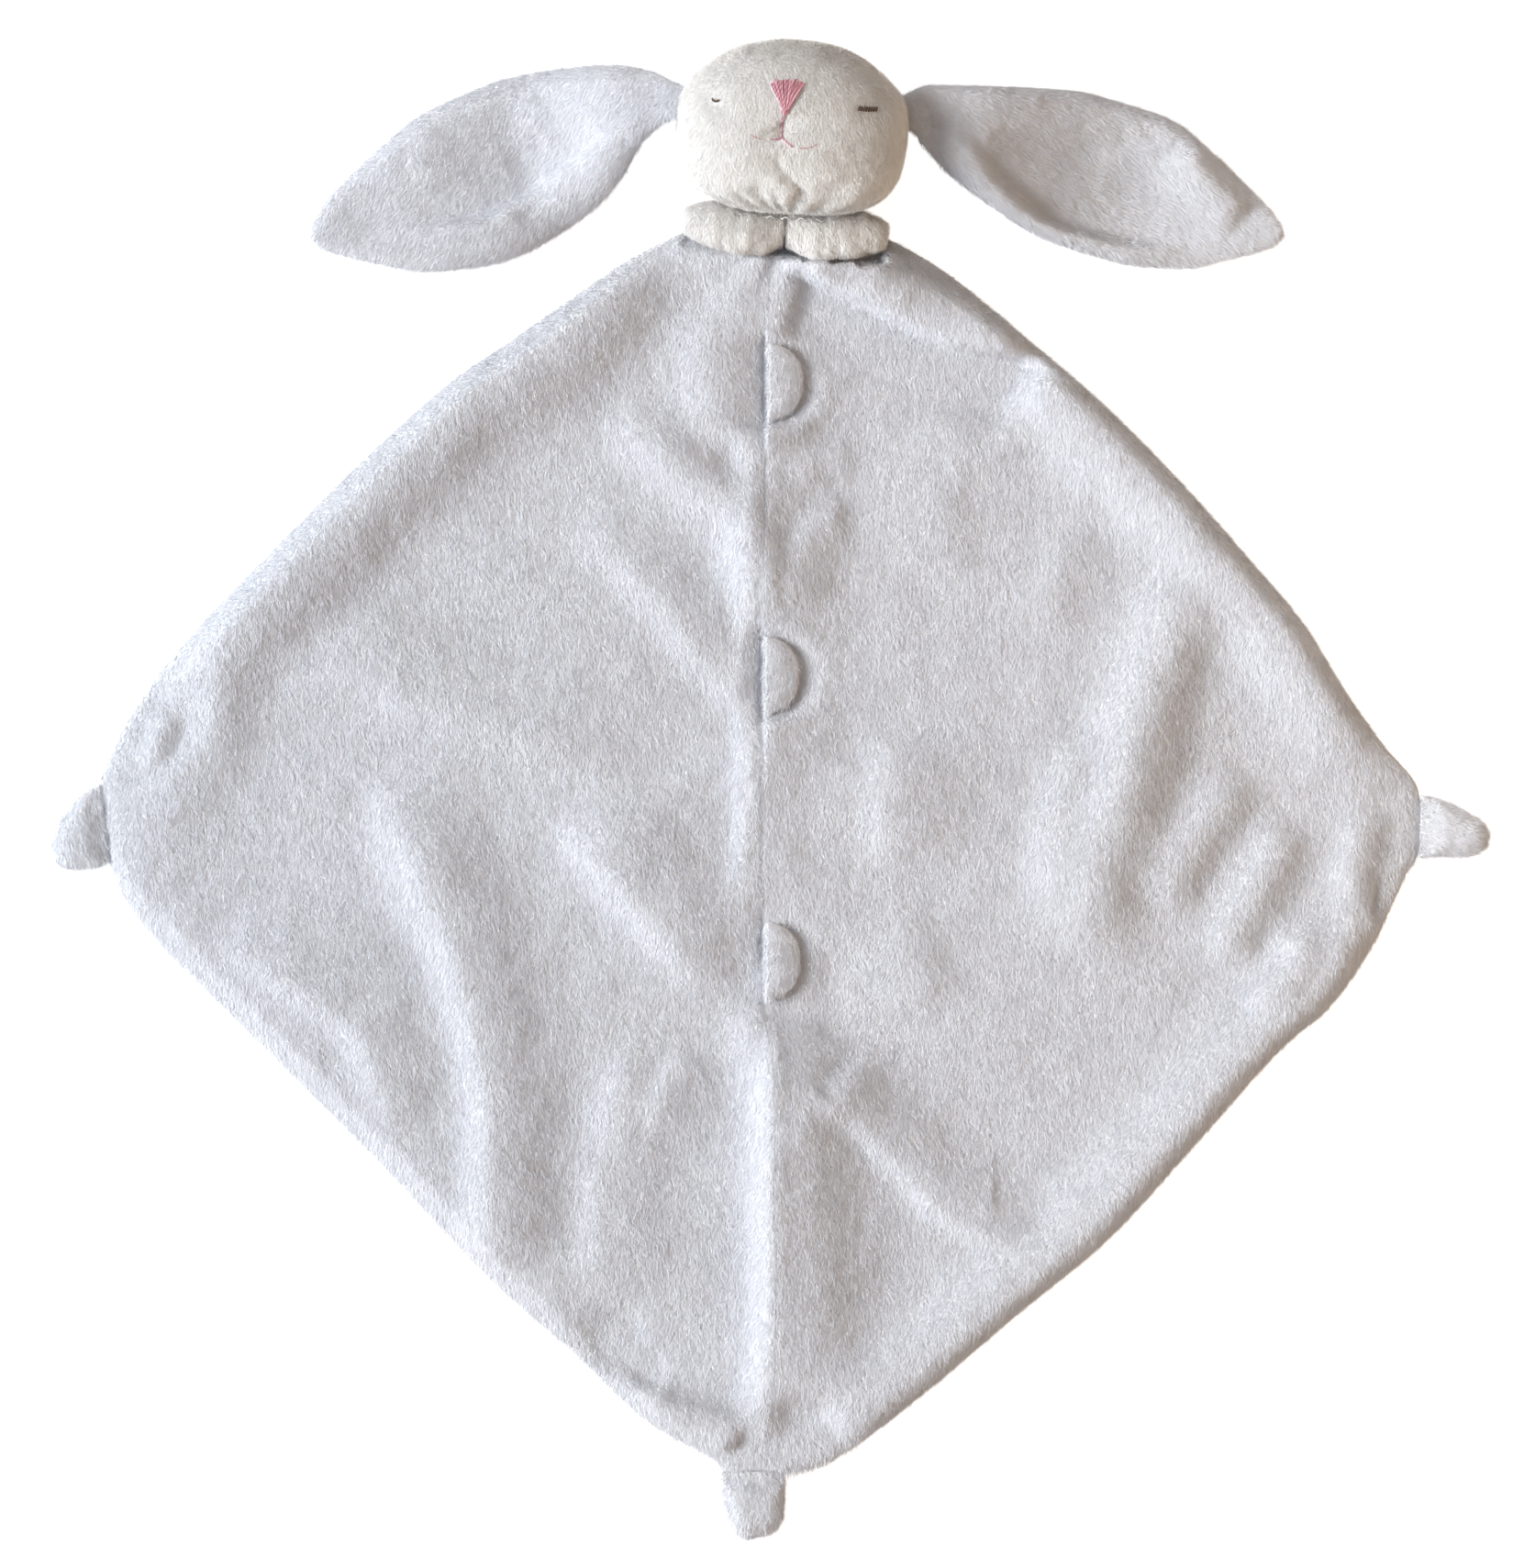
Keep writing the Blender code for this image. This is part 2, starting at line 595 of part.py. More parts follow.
def add_face(joint, pink, brown):
    """Nose, mouth and closed eyes."""
    add_nose(joint, pink)
    point = (NOSE_SIDE, NOSE_UP - NOSE_HEIGHT / 2 - THREAD)
    end = (NOSE_SIDE, point[1] - NOSE_STEM)
    face_thread("nose_stem", line_between(point, end, STEM_STEPS), joint, pink)
    start = (end[0], end[1] - THREAD - GAP)
    left = (start[0] - MOUTH_REACH, start[1] - MOUTH_DROP)
    right = (start[0] + MOUTH_REACH, start[1] - MOUTH_DROP)
    branches = line_between(left, start, MOUTH_STEPS) + line_between(start, right, MOUTH_STEPS)[1:]
    face_thread("mouth", branches, joint, pink)
    for name, side in (("eye_left", -1), ("eye_right", 1)):
        middle = EYE_SHIFT + side * EYE_SPACING / 2
        places = []
        for index in range(EYE_STEPS + 1):
            share = index / EYE_STEPS
            sag = EYE_SAG * (math.sin(math.pi * share) - 0.5)
            places.append((middle + mix(-1, 1, share) * EYE_WIDTH / 2, EYE_UP - sag))
        face_thread(name, places, joint, brown)


def add_head(neck, plush, filling, pink, brown):
    """Cover panels, filling and face, on the joint at the neck."""
    height = HEAD_DEPTH / 2 - FLAT_CUT - neck.location.z
    middle = add_joint("head_middle", (0, HEAD_REACH, height), parent=neck)
    head_panel("face_left", [(0, 0, 1), (-1, 0, 0)], plush, middle)
    head_panel("face_right", [(0, 0, 1), (1, 0, 0)], plush, middle)
    head_panel("head_back", [(0, 0, -1)], plush, middle)
    add_mesh("head_filling", head_ball(HEAD_COVER + HEAD_FILLING_GAP), filling, middle)
    add_face(middle, pink, brown)
    return middle


def ear_point(side, u, v, height_of):
    """Place in one ear: u along it from root to tip, v across it from its lower edge to its upper one."""
    along = mix(-EAR_ROOT_RADIUS, EAR_LENGTH, u)
    share = max(0, along / EAR_LENGTH)
    upper = curve_through(EAR_UPPER_shares, share) * EAR_WIDTH
    lower = -curve_through(EAR_LOWER_shares, share) * EAR_WIDTH
    across = mix(lower, upper, v)
    slant = -math.tan(math.radians(EAR_SEAM_SLANT)) * across * (1 - share) ** 6
    run = along + slant
    run -= TIP_BOW_share * (upper - lower) * (2 * v - 1) ** 2 * share**8
    return Vector((side * run, across, height_of(along, 2 * v - 1)))


def add_ear(name, side, middle, material):
    """Cupped ear of two layers, which comes down from its seam in the side of the head to the surface."""
    pick = 0 if side < 0 else 1
    place = (side * EAR_ROOT_SIDE[pick], EAR_ROOT_UP[pick], 0)
    joint = add_joint(name + "_seam", place, -side * EAR_DROOP[pick], middle)
    hinge_height = HEAD_DEPTH / 2 - FLAT_CUT

    def thickness(along, cross):
        """Half the ear's thickness: round at the root, swelling, and thin at its edges."""
        share = max(0, along / EAR_LENGTH)
        full = EAR_THICKNESS / 2 * curve_through(EAR_SWELL_shares, share)
        full = mix(EAR_EDGE / 2, full, (1 - min(1, abs(cross)) ** 4) ** 0.5)
        if along < 0:
            full = min(full, max(EAR_EDGE / 2, (EAR_ROOT_RADIUS**2 - along**2) ** 0.5))
        return min(full, EAR_ROOT_RADIUS) if along <= 0 else full

    def level(along, cross):
        """Height of the ear's middle surface above the hinge."""
        drop = min(1, max(0, along / EAR_DROP_RUN))
        drop = drop**2 * (3 - 2 * drop)
        share = max(0, along / EAR_LENGTH)
        cup = EAR_CUP * cross**2 * math.sin(math.pi * min(1, share + 0.08)) ** 0.5 * min(1, share / 0.2)
        return mix(0, EAR_THICKNESS / 2 - hinge_height, drop) + cup

    layers = {
        "back": (
            lambda along, cross: level(along, cross) - thickness(along, cross),
            lambda along, cross: level(along, cross) - GAP / 2,
        ),
        "front": (
            lambda along, cross: level(along, cross) + GAP / 2,
            lambda along, cross: level(along, cross) + thickness(along, cross),
        ),
    }
    for layer, (low, high) in layers.items():
        mesh = slab(
            EAR_DIVISIONS,
            lambda u, v: ear_point(side, u, v, low),
            lambda u, v: ear_point(side, u, v, high),
        )
        add_mesh(f"{name}_{layer}", mesh, material, joint)


# Collar


def add_collar(name, side, neck, material):
    """Roll of gathered cloth, round about the neck's axis, pinched in the middle and rounded outside."""
    mesh = bmesh.new()
    bmesh.ops.create_uvsphere(mesh, u_segments=COLLAR_DIVISIONS[0], v_segments=COLLAR_DIVISIONS[1], radius=1)
    bmesh.ops.rotate(mesh, verts=mesh.verts, matrix=Matrix.Rotation(math.radians(90), 3, "Y"))
    for vert in mesh.verts:
        share = (vert.co.x * side + 1) / 2
        spread = (vert.co.y**2 + vert.co.z**2) ** 0.5
        fuller = (1 - abs(2 * share - 1) ** 3) ** 0.5 if spread > 0 else 0
        scale = COLLAR_RADIUS * fuller / spread if spread > 0 else 0
        along = COLLAR_PINCH / 2 + share * COLLAR_LENGTH
        vert.co = (side * along, vert.co.y * scale, vert.co.z * scale)
    return add_mesh(name, mesh, material, neck)


def add_neck_thread(neck, material):
    """Gathering thread, in the crease between the chin and the rolls."""
    reach = COLLAR_RADIUS + GAP + THREAD / 2
    angle = math.radians(NECK_THREAD_ANGLE)
    y, z = reach * math.cos(angle), reach * math.sin(angle)
    half = NECK_THREAD_LENGTH / 2
    return add_thread("neck_thread", [(-half, y, z), (half, y, z)], THREAD / 2, material, neck)


clear_scene()
PARTS = new_collection("comfort_blanket")

WHITE = new_material("white_plush", (0.86, 0.86, 0.87), 0.95)
FILLING = new_material("polyester_filling", (0.93, 0.93, 0.93), 0.9)
PINK = new_material("pink_thread", (0.78, 0.40, 0.45), 0.5)
BROWN = new_material("brown_thread", (0.20, 0.10, 0.06), 0.5)
THREAD_WHITE = new_material("white_thread", (0.85, 0.84, 0.82), 0.6)

blanket_back("blanket_back", WHITE)
blanket_front("blanket_front_left", -1, WHITE)
blanket_front("blanket_front_right", 1, WHITE)

for tab, tab_row in TAB_shares.items():
    add_tab(tab, tab_row, WHITE)

CORNER_share = (CORNER_START_share + CORNER_END_share) / 2
CORNER_Y = NECK_Y - CORNER_share * BLANKET_LENGTH
add_paw("paw_left", (BLANKET_OFFSET - BLANKET_WIDTH / 2 - GAP / 2, CORNER_Y), 180, WHITE)
add_paw("paw_right", (BLANKET_OFFSET + BLANKET_WIDTH / 2 + GAP / 2, CORNER_Y), 0, WHITE)
BOTTOM_share = (RIGHT_EDGE_shares[-1][1] - LEFT_EDGE_shares[-1][1]) / 2
BOTTOM_X = BLANKET_OFFSET + BOTTOM_share * BLANKET_WIDTH / 2
add_paw("paw_bottom", (BOTTOM_X, NECK_Y - BLANKET_LENGTH - GAP / 2), -90, WHITE)

NECK = add_joint("neck", (NECK_X, NECK_Y, PLUSH + GAP + COLLAR_RADIUS), HEAD_LEAN)
HEAD = add_head(NECK, WHITE, FILLING, PINK, BROWN)
add_ear("ear_left", -1, HEAD, WHITE)
add_ear("ear_right", 1, HEAD, WHITE)
add_collar("collar_left", -1, NECK, WHITE)
add_collar("collar_right", 1, NECK, WHITE)
add_neck_thread(NECK, THREAD_WHITE)
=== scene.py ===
"""Looks of a comfort blanket with a bunny's head, in white short-pile plush, lying on its back.

Every cloth is a closed shell that lies where its CAD solids lie, with the folds that the real one has,
and on each stands a pile of short fibres. Tables of places are in millimetres in the frame's own axes:
X to the viewer's right, Y towards the head, Z up from the surface that the blanket lies on.
"""
import math

import bmesh
import bpy
import numpy as np
from mathutils import Matrix, Vector, noise
from mathutils.bvhtree import BVHTree


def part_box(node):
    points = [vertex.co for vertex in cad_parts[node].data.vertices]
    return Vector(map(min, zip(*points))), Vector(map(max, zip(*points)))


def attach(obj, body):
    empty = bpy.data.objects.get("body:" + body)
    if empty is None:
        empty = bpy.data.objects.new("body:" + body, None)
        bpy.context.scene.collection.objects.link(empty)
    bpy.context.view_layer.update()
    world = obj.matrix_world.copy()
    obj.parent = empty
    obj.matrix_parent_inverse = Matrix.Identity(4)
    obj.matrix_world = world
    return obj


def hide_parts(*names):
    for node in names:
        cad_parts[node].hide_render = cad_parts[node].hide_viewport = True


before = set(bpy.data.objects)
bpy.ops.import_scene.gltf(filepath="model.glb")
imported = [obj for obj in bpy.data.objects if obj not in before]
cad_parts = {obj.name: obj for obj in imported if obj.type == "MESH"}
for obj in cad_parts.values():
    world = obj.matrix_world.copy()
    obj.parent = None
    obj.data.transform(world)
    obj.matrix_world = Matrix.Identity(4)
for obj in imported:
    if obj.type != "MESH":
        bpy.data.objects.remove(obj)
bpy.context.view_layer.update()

MM = 0.001

# Cloth
BACKING = 1.4                # thickness of the cloth that the pile stands on
TABLE_GAP = 0.3
REST_HEIGHT = 5.0            # top of the front cloth's backing where it lies flat
BACK_TOP = 2.3               # top of the back cloth's backing
BACK_EDGE = 0.12             # half its thickness at its very rim
BACK_ROLL = 2.5              # width in which it is rounded down to that
TONGUE = 4.5                 # the back cloth runs in this far under the neck
RIM_HEIGHT = 2.6             # where the front cloth meets the back cloth
RIM_ROLL = 8.0               # width in which the front cloth rolls down to its rim
RIM_INSET = 0.9              # the pile stands this far past the backing
PANEL_ROWS = 230
PANEL_COLUMNS = 104
FRONT_CROWDING = 0.45        # how much the columns crowd towards the seam and the rim
BACK_CROWDING = 0.6
FOLD_SCALE = 1.15            # folds are this much higher than their table says
FOLD_TOP = 15.0              # folds that cross come nearer to this height, and never pass it
HOLLOW_SHARE = 0.6           # hollows are shallower than their table says
HOLLOW_DEPTH = 1.6           # and never deeper than this
SEAM_GAP = 0.03
SEAM_DIP = 0.2
SEAM_WIDTH = 1.2

# Random swells: height, size and seed
CLOTH_RIPPLES = ((1.1, 38.0, 3.0), (0.5, 13.0, 7.0), (0.2, 5.0, 9.0))
EAR_RIPPLES = ((0.7, 24.0, 21.0), (0.3, 9.0, 22.0), (0.12, 4.5, 23.0))
PAW_RIPPLES = ((0.35, 7.0, 31.0),)
TAB_RIPPLES = ((0.3, 6.0, 41.0),)

# Neck
NECK = Vector((6.0, 200.5, 11.3))
HEAD_TURN = math.radians(-4.0)
NECK_LINE_DROP = 7.5         # the front cloth starts this far under the rolls' axis
GATHERS = 11                 # pleats in a full turn about the neck
GATHER_REACH = (34.0, 24.0)  # how far they run out, across and down
GATHER_SWELL = 5.0
GATHER_HEIGHT = 1.1
ROLL_RADIUS = (8.6, 8.5)     # towards the blanket, and up
ROLL_RISE = 1.2              # the rolls' middle over the collar's axis
ROLL_LENGTH = 37.0
ROLL_ENDS = (0.9, 36.0)      # where a roll starts and ends, from the pinch
ROLL_SWEEP = 9.8             # room round the neck's axis that the rolls turn in when the head nods
ROLL_STEPS = 60
ROLL_RING = 40
LOOSE_END = [(1.8, 206.6, 19), (4, 208.4, 20.6), (6.4, 208.9, 21.6), (8.2, 207.6, 21.4), (8.9, 205.6, 20.4)]

# Outline of the blanket: (y, x) from the neck down to the bottom corner
LEFT_RIM = [
    (201.3, -30.7), (191.4, -50.2), (181.2, -65.3), (170.6, -80.5), (159.4, -96.7), (147.5, -114.2),
    (132.3, -131.7), (111.5, -154.1), (82.5, -182.8), (53.8, -210.2), (28.4, -229.4), (10.6, -238.3),
    (1, -241.6), (-8.9, -241.6), (-25.7, -237.9), (-37, -234), (-53.1, -222.8), (-72.3, -203.6),
    (-108.9, -166.7), (-137.6, -137.9), (-158.4, -118.8), (-182.5, -94.7), (-203.3, -71), (-229.7, -41.9),
    (-236.9, -29), (-242.6, -19.5), (-245.5, -17.2),
]
RIGHT_RIM = [
    (199.3, 41.9), (195.4, 49.5), (191.4, 56.4), (184.8, 66.3), (163.3, 92.4), (140.6, 118.8),
    (110.9, 148.5), (81.5, 174.6), (60.1, 192.7), (33.7, 209.2), (15.8, 222.1), (0, 234.3), (-13.2, 236),
    (-25.4, 233.6), (-29.7, 230.7), (-43.2, 224.4), (-56.1, 218.1), (-80.9, 200.3), (-89.8, 189.1),
    (-128, 154.1), (-162.7, 122.1), (-189.1, 90.1), (-216.2, 58.1), (-240.2, 26.1), (-244.2, 18.2),
    (-246.8, 7.9),
]
SEAM = [
    (193.1, 0), (171.6, 0), (125.4, -1), (85.8, -1.7), (52.8, -2), (-13.2, -2.6), (-46.2, -2.6),
    (-75.9, -2), (-99, 1.7), (-112.2, 2.3), (-145.2, 2), (-178.2, 2.6), (-221.1, 1.3), (-246.2, -1.3),
]

# Folds: height, width on the left and on the right of the way the line runs, shares of its length in
# which it fades in and out, and the line
FOLDS = [
    # Hem, upper left
    (10.5, 17, 8, 0.2, 0.2, [(-30.7, 191.2), (-47.8, 182.3), (-60.8, 173.2), (-75.7, 162.6), (-91.9, 151),
     (-109.2, 140.3), (-125.9, 123.9), (-148, 103.1), (-176, 74.4), (-195.7, 54.1), (-207.1, 36.9),
     (-216.9, 18.8)]),
    # Fold at the left corner
    (3, 14, 6, 0.35, 0.2, [(-193.4, 56.1), (-197.3, 41.2), (-201, 19.5), (-212.9, 4.3), (-229.7, -4.3),
     (-241.9, -7.9)]),
    # Small fold outside it
    (2.5, 5, 4, 0.3, 0.3, [(-216.5, 31.6), (-218.8, 20.1), (-224.7, 5.3)]),
    # Left panel, by the neck
    (6.5, 24, 15, 0.5, 0.3, [(-24.4, 183.8), (-18.5, 169.2), (-15.6, 151.4), (-13.3, 135), (-11.4, 115.2)]),
    # Left panel, first slope to the seam
    (5.9, 9.8, 9.5, 0.3, 0.2, [(-59, 140.2), (-40.2, 123), (-25.4, 111.8), (-12.8, 100.2), (-5.5, 83),
     (-3.2, 59.6)]),
    # Left panel, second slope
    (3.2, 12.6, 6.8, 0.35, 0.1, [(-75.6, 98.4), (-59.2, 86.9), (-43.4, 74.8), (-23, 48.4), (-5.8, 30.9)]),
    # Left panel, wide swell
    (3.4, 25, 9.7, 0.3, 0.3, [(-191.3, 21.5), (-171.9, 35.9), (-149.4, 42.4), (-125.7, 34.3),
     (-100.9, 24.4), (-71.1, 15.1), (-42.8, -1.5)]),
    # Left panel, third slope
    (6.3, 24.6, 8.9, 0.3, 0.3, [(-72.2, -1.2), (-62.9, -18.7), (-49.6, -36.3), (-32.4, -54.2),
     (-10.6, -72.7)]),
    # Left panel, long ridge
    (6.3, 20, 9.1, 0.25, 0.15, [(-140.3, 14.6), (-134.6, -3.5), (-124.7, -30), (-111.5, -60.3),
     (-103, -90.9), (-98.7, -125.4), (-99, -161.6), (-103, -181.4)]),
    # Left panel, short ridge
    (3.4, 20.4, 9.4, 0.3, 0.25, [(-43.6, -80.4), (-49.6, -108.4), (-56.8, -134.9), (-59.5, -161.4),
     (-64.1, -186.1)]),
    # Left panel, outer ridge
    (4.2, 24.4, 6.8, 0.3, 0.3, [(-200.8, -50.4), (-170.4, -69.6), (-146.4, -87.3), (-138, -107.9),
     (-128.7, -131)]),
    # Left panel, small ridge
    (1.5, 13.4, 4.8, 0.3, 0.3, [(-28.1, -90.2), (-36.3, -110), (-42.9, -126.4)]),
    # Hem, lower left end
    (4.5, 6, 6, 0.3, 0.1, [(-63.3, -196.8), (-49.5, -211.8), (-35.9, -223.6), (-19.6, -228.5),
     (-10.1, -236.1)]),
    # Hem, lower left
    (1.9, 23.1, 4.6, 0.1, 0.1, [(-224.7, -31.4), (-213.3, -47.7), (-195.3, -66.7), (-159.1, -103),
     (-129.3, -133.4), (-89.8, -174.5), (-63.5, -197.5)]),
    # Front corner, left
    (2.7, 23.4, 4.6, 0.1, 0.3, [(-235.5, -6.2), (-233.6, -20.7), (-227.9, -33.2), (-218.2, -46.2)]),
    # Beside the seam, upper
    (4.2, 20.2, 5.8, 0.12, 0.3, [(-7.8, 158.6), (-5.8, 125.5), (-5.1, 85.8), (-5.1, 46.2), (-5.8, 3.2),
     (-7.8, -39.7), (-7.1, -65.9)]),
    # Beside the seam, lower
    (3.6, 5.5, 9.2, 0.08, 0.06, [(-7.4, -73.9), (-2.8, -92.2), (-0.4, -115.4), (0.2, -155.1), (0.9, -188.1),
     (-0.8, -217.9), (-2.7, -237.1)]),
    # Fall from the lower seam to the right
    (12.5, 24, 5.3, 0.25, 0.1, [(4.3, -75.9), (3, -112.2), (3, -155.1), (3, -191.4), (1, -224.4)]),
    # Flap under the neck, its edge
    (7, 12, 2.4, 0.05, 0.2, [(5.1, 190.8), (10.8, 189.3), (21.4, 184.3), (34, 178.4), (54.4, 167.5),
     (67.9, 161.7), (91, 157.8), (107.1, 149.1)]),
    # Its crest, behind the edge
    (6, 8, 11, 0.1, 0.15, [(14, 194), (27, 191), (41, 185.5), (60, 176.5), (76, 168), (95, 158)]),
    # Hollow under the flap
    (-5, 3, 20, 0.1, 0.2, [(8, 184), (19, 179.5), (32, 173), (52, 162), (66, 156.5), (89, 152.5),
     (104, 145)]),
    # Hem, upper right
    (12.2, 20, 15, 0.1, 0.3, [(91.8, 157.7), (113.5, 135.3), (134.7, 114.1), (154.5, 92.3), (170.4, 74.4),
     (186.4, 54.5), (202.9, 30.3), (216, 12.3), (227.8, -0.1)]),
    # Bump under the collar, right
    (2.3, 7.5, 6.6, 0.3, 0.3, [(33.1, 186.6), (43.1, 180.6), (51.5, 173.2)]),
    # Arc beside the seam
    (2, 5, 9, 0.25, 0.25, [(9.3, 63.1), (11.3, 81.9), (19.3, 96.9), (31.2, 102)]),
    # Short arc over it
    (1.4, 5, 7, 0.3, 0.3, [(9.1, 107.9), (17.3, 117.5), (32.5, 121.9)]),
    # Wide arc
    (2.6, 9, 14, 0.35, 0.35, [(49, 121.2), (63.6, 129.3), (82.8, 128.4), (99.1, 117.9)]),
    # Right panel, faint ridge
    (1.8, 14, 13, 0.35, 0.35, [(70, 113.2), (62.3, 93.1), (58, 69.8)]),
    # Right panel, second faint ridge
    (2, 14, 10, 0.35, 0.35, [(112, 97), (108.6, 88.9), (102, 69.1), (94.4, 50.9)]),
    # Right panel, tall ridge
    (8.5, 14, 13, 0.12, 0.25, [(152.1, 79.8), (146.2, 60.1), (136.6, 33.6), (129.3, 3.9), (120.1, -24.1),
     (114.2, -46.2), (107.6, -65.3)]),
    # Right panel, ridge beside it
    (3, 8, 8, 0.3, 0.3, [(118, 23.8), (106.7, -1.2), (102.7, -24.6), (101.4, -49.4)]),
    # Right panel, second ridge
    (4, 8, 11, 0.25, 0.25, [(174, 6.8), (160.8, -9.7), (148.2, -27.9), (139.6, -46.1)]),
    # Right panel, third ridge
    (4.2, 9, 8, 0.25, 0.25, [(189.2, -9.1), (179.9, -27.2), (170.7, -44.7), (159.2, -65.1)]),
    # Right panel, swell by the seam
    (1.2, 12, 9, 0.35, 0.35, [(28.2, 16.2), (26.6, -0.1), (27.2, -19.7)]),
    # Right panel, swell
    (4.2, 23.1, 9.5, 0.35, 0.35, [(46.8, 26.3), (44.5, 0), (45.8, -32.9)]),
    # Right panel, dimple's edge
    (1.8, 12, 12, 0.35, 0.35, [(56.8, -39.6), (53.5, -61), (56.8, -84.2)]),
    # Loop at the right corner
    (4, 6, 7, 0.25, 0.2, [(220.9, -5.4), (213.2, -18.2), (210.7, -31.4), (212.4, -45.1), (216.5, -49.4),
     (222.9, -41.1)]),
    # Below the loop
    (4.2, 5.5, 8, 0.25, 0.3, [(192.8, -46.3), (191.4, -59.6), (184.3, -71.5), (169.3, -79.8)]),
    # Three-cornered fold, left side
    (2, 6, 8, 0.3, 0.1, [(7.1, -130), (13.6, -117.6), (20, -109.3)]),
    # Three-cornered fold, right side
    (4, 17, 5.3, 0.1, 0.25, [(17.4, -107.5), (33.2, -119.3), (48.3, -134.5), (66.2, -153), (79.9, -159.1),
     (98.2, -153.1)]),
    # Hem, lower right
    (9, 15, 15, 0.08, 0.06, [(219.3, -43.5), (213.4, -52.1), (195.5, -75.9), (184.2, -85.5),
     (149.3, -123.1), (117.2, -157.8), (85.2, -184.3), (53.1, -211.4), (22.7, -234.5)]),
    # Hollow below the lower left
    (-6, 8, 8, 0.3, 0.3, [(-52, -183.6), (-54.9, -200), (-35.5, -215.6)]),
    # Hollow beside the lower tab
    (-2, 12, 8, 0.3, 0.3, [(24.9, -49.8), (21.6, -76), (23.3, -95.5)]),
]

# Ears: their upper and lower edges from root to tip (x, y), their folds, the length in which each comes
# down from the head, and the way their pile lies
EARS = {
    "ear_left": {
        "upper": [
            (-28.8, 251.6), (-34, 253.6), (-42.2, 257.6), (-56.4, 260), (-71.9, 259.1), (-91.7, 256.1),
            (-111.5, 248.8), (-127.1, 240.9), (-136.3, 233.6), (-144.5, 226.1), (-152.5, 218.5),
            (-160.4, 209.5), (-164.6, 201.6),
        ],
        "lower": [
            (-28.8, 241.6), (-34, 240.8), (-39, 238.6), (-46.2, 231.3), (-52.1, 221.1), (-59.4, 211.9),
            (-75.2, 200), (-93.7, 190.7), (-108.2, 187.8), (-123.1, 186.8), (-144.5, 190.4),
            (-160.4, 194.9), (-164.6, 198.4),
        ],
        "folds": [
            # Upper rim
            (6, 20, 6, 0.2, 0.35, [(-36, 250.5), (-56.4, 254), (-75.2, 252.5), (-91.7, 248.8),
             (-111.5, 241.9), (-127.1, 233.6), (-142.9, 220.8), (-156.1, 208.6)]),
            # Lobe rolled up over the lower edge
            (5.5, 14, 3, 0.3, 0.4, [(-36.3, 246.8), (-47.2, 240.2), (-60.4, 229.4), (-75.2, 218.5),
             (-90.1, 208.6), (-103.3, 202.6), (-121.4, 200.6), (-144.5, 199.3)]),
            # Dimple in it
            (-1.6, 4, 5, 0.3, 0.3, [(-77.5, 219.5), (-85.8, 209.6), (-92.4, 202.6)]),
            # Humps in the cup
            (1, 7, 7, 0.3, 0.3, [(-80, 250), (-86, 240), (-84, 228)]),
            (0.8, 7, 7, 0.3, 0.3, [(-116, 238), (-122, 226), (-118, 214)]),
        ],
        "drop": 66, "nap": (-0.5, -0.8, 0.1),
    },
    "ear_right": {
        "upper": [
            (46.2, 248), (51, 250.4), (57.4, 252.6), (83.2, 252.3), (109.9, 250.9), (127.7, 246.4),
            (145.2, 240.3), (158.4, 229.6), (170.6, 217.9), (180.5, 207.4), (184.4, 201.4),
        ],
        "lower": [
            (46.4, 238.4), (51.2, 236.4), (56, 230.6), (64.4, 221.4), (78.5, 210.5), (96.7, 199),
            (116.2, 192.1), (132.7, 188.4), (149.2, 187.8), (165.7, 191.3), (180.8, 195.6), (184.4, 199),
        ],
        "folds": [
            # Upper rim
            (3.6, 5, 14, 0.2, 0.25, [(54.5, 250), (83.2, 247.6), (109.9, 246.3), (127.7, 241.9),
             (145.2, 234.6), (158.4, 224.1), (174, 207.6)]),
            # Lobe rolled up over the lower edge
            (6.5, 3.2, 13, 0.35, 0.35, [(54.5, 240.6), (63.4, 235), (71.6, 227.7), (77.2, 219.5),
             (86.5, 210.5), (96.4, 202.6), (111.2, 197.3), (136, 192.7), (155.8, 192.1)]),
            # Crease down the middle
            (-2.4, 6, 7, 0.3, 0.3, [(74.6, 238.3), (93.4, 231), (111.9, 228), (125.7, 226.4)]),
            # Ridge towards the tip
            (4.4, 5, 8, 0.25, 0.25, [(147.2, 233), (153.8, 221.8), (163, 212.5), (172.3, 204.9)]),
        ],
        "drop": 96, "nap": (0.8, -0.5, 0.1),
    },
}
EAR_GRID = (120, 52)         # rows and columns of points
EAR_HALF = 2.1               # half the thickness of two cloths
EAR_HINGE_HEIGHT = 29.5
EAR_LOW = 3.8                # height of its middle where it lies down

# Paws: their two edges from root to tip (x, y), and the way their pile lies
PAWS = {
    "paw_left": {
        "upper": [(-240.6, 1.6), (-244.5, -0.6), (-250, -5.4), (-256, -13), (-258.4, -19.6)],
        "lower": [(-237.6, -25.4), (-242, -27.5), (-247.8, -28.2), (-252.6, -28.2), (-256.8, -25.6)],
        "nap": (0.1, -1.0, 0.0),
    },
    "paw_right": {
        "upper": [(234.6, -2.2), (243.9, -5), (251.1, -8.8), (256.6, -12.4), (258.4, -15.6)],
        "lower": [(234.2, -24.6), (241.2, -23.8), (248.5, -24.2), (254.1, -23.2), (257.6, -20.6)],
        "nap": (0.9, -0.2, 0.0),
    },
    "paw_bottom": {
        "upper": [(-17.4, -245.6), (-16.4, -254.4), (-15.2, -260.4), (-12.4, -266.4), (-8.6, -269.6)],
        "lower": [(5.6, -245.6), (5.4, -256.4), (5, -261.6), (3.4, -265), (0.4, -267.4)],
        "nap": (-0.1, -0.9, 0.0),
    },
}
PAW_GRID = (30, 30)
PAW_HALF = 2.9
PAW_MIDDLE = 3.5

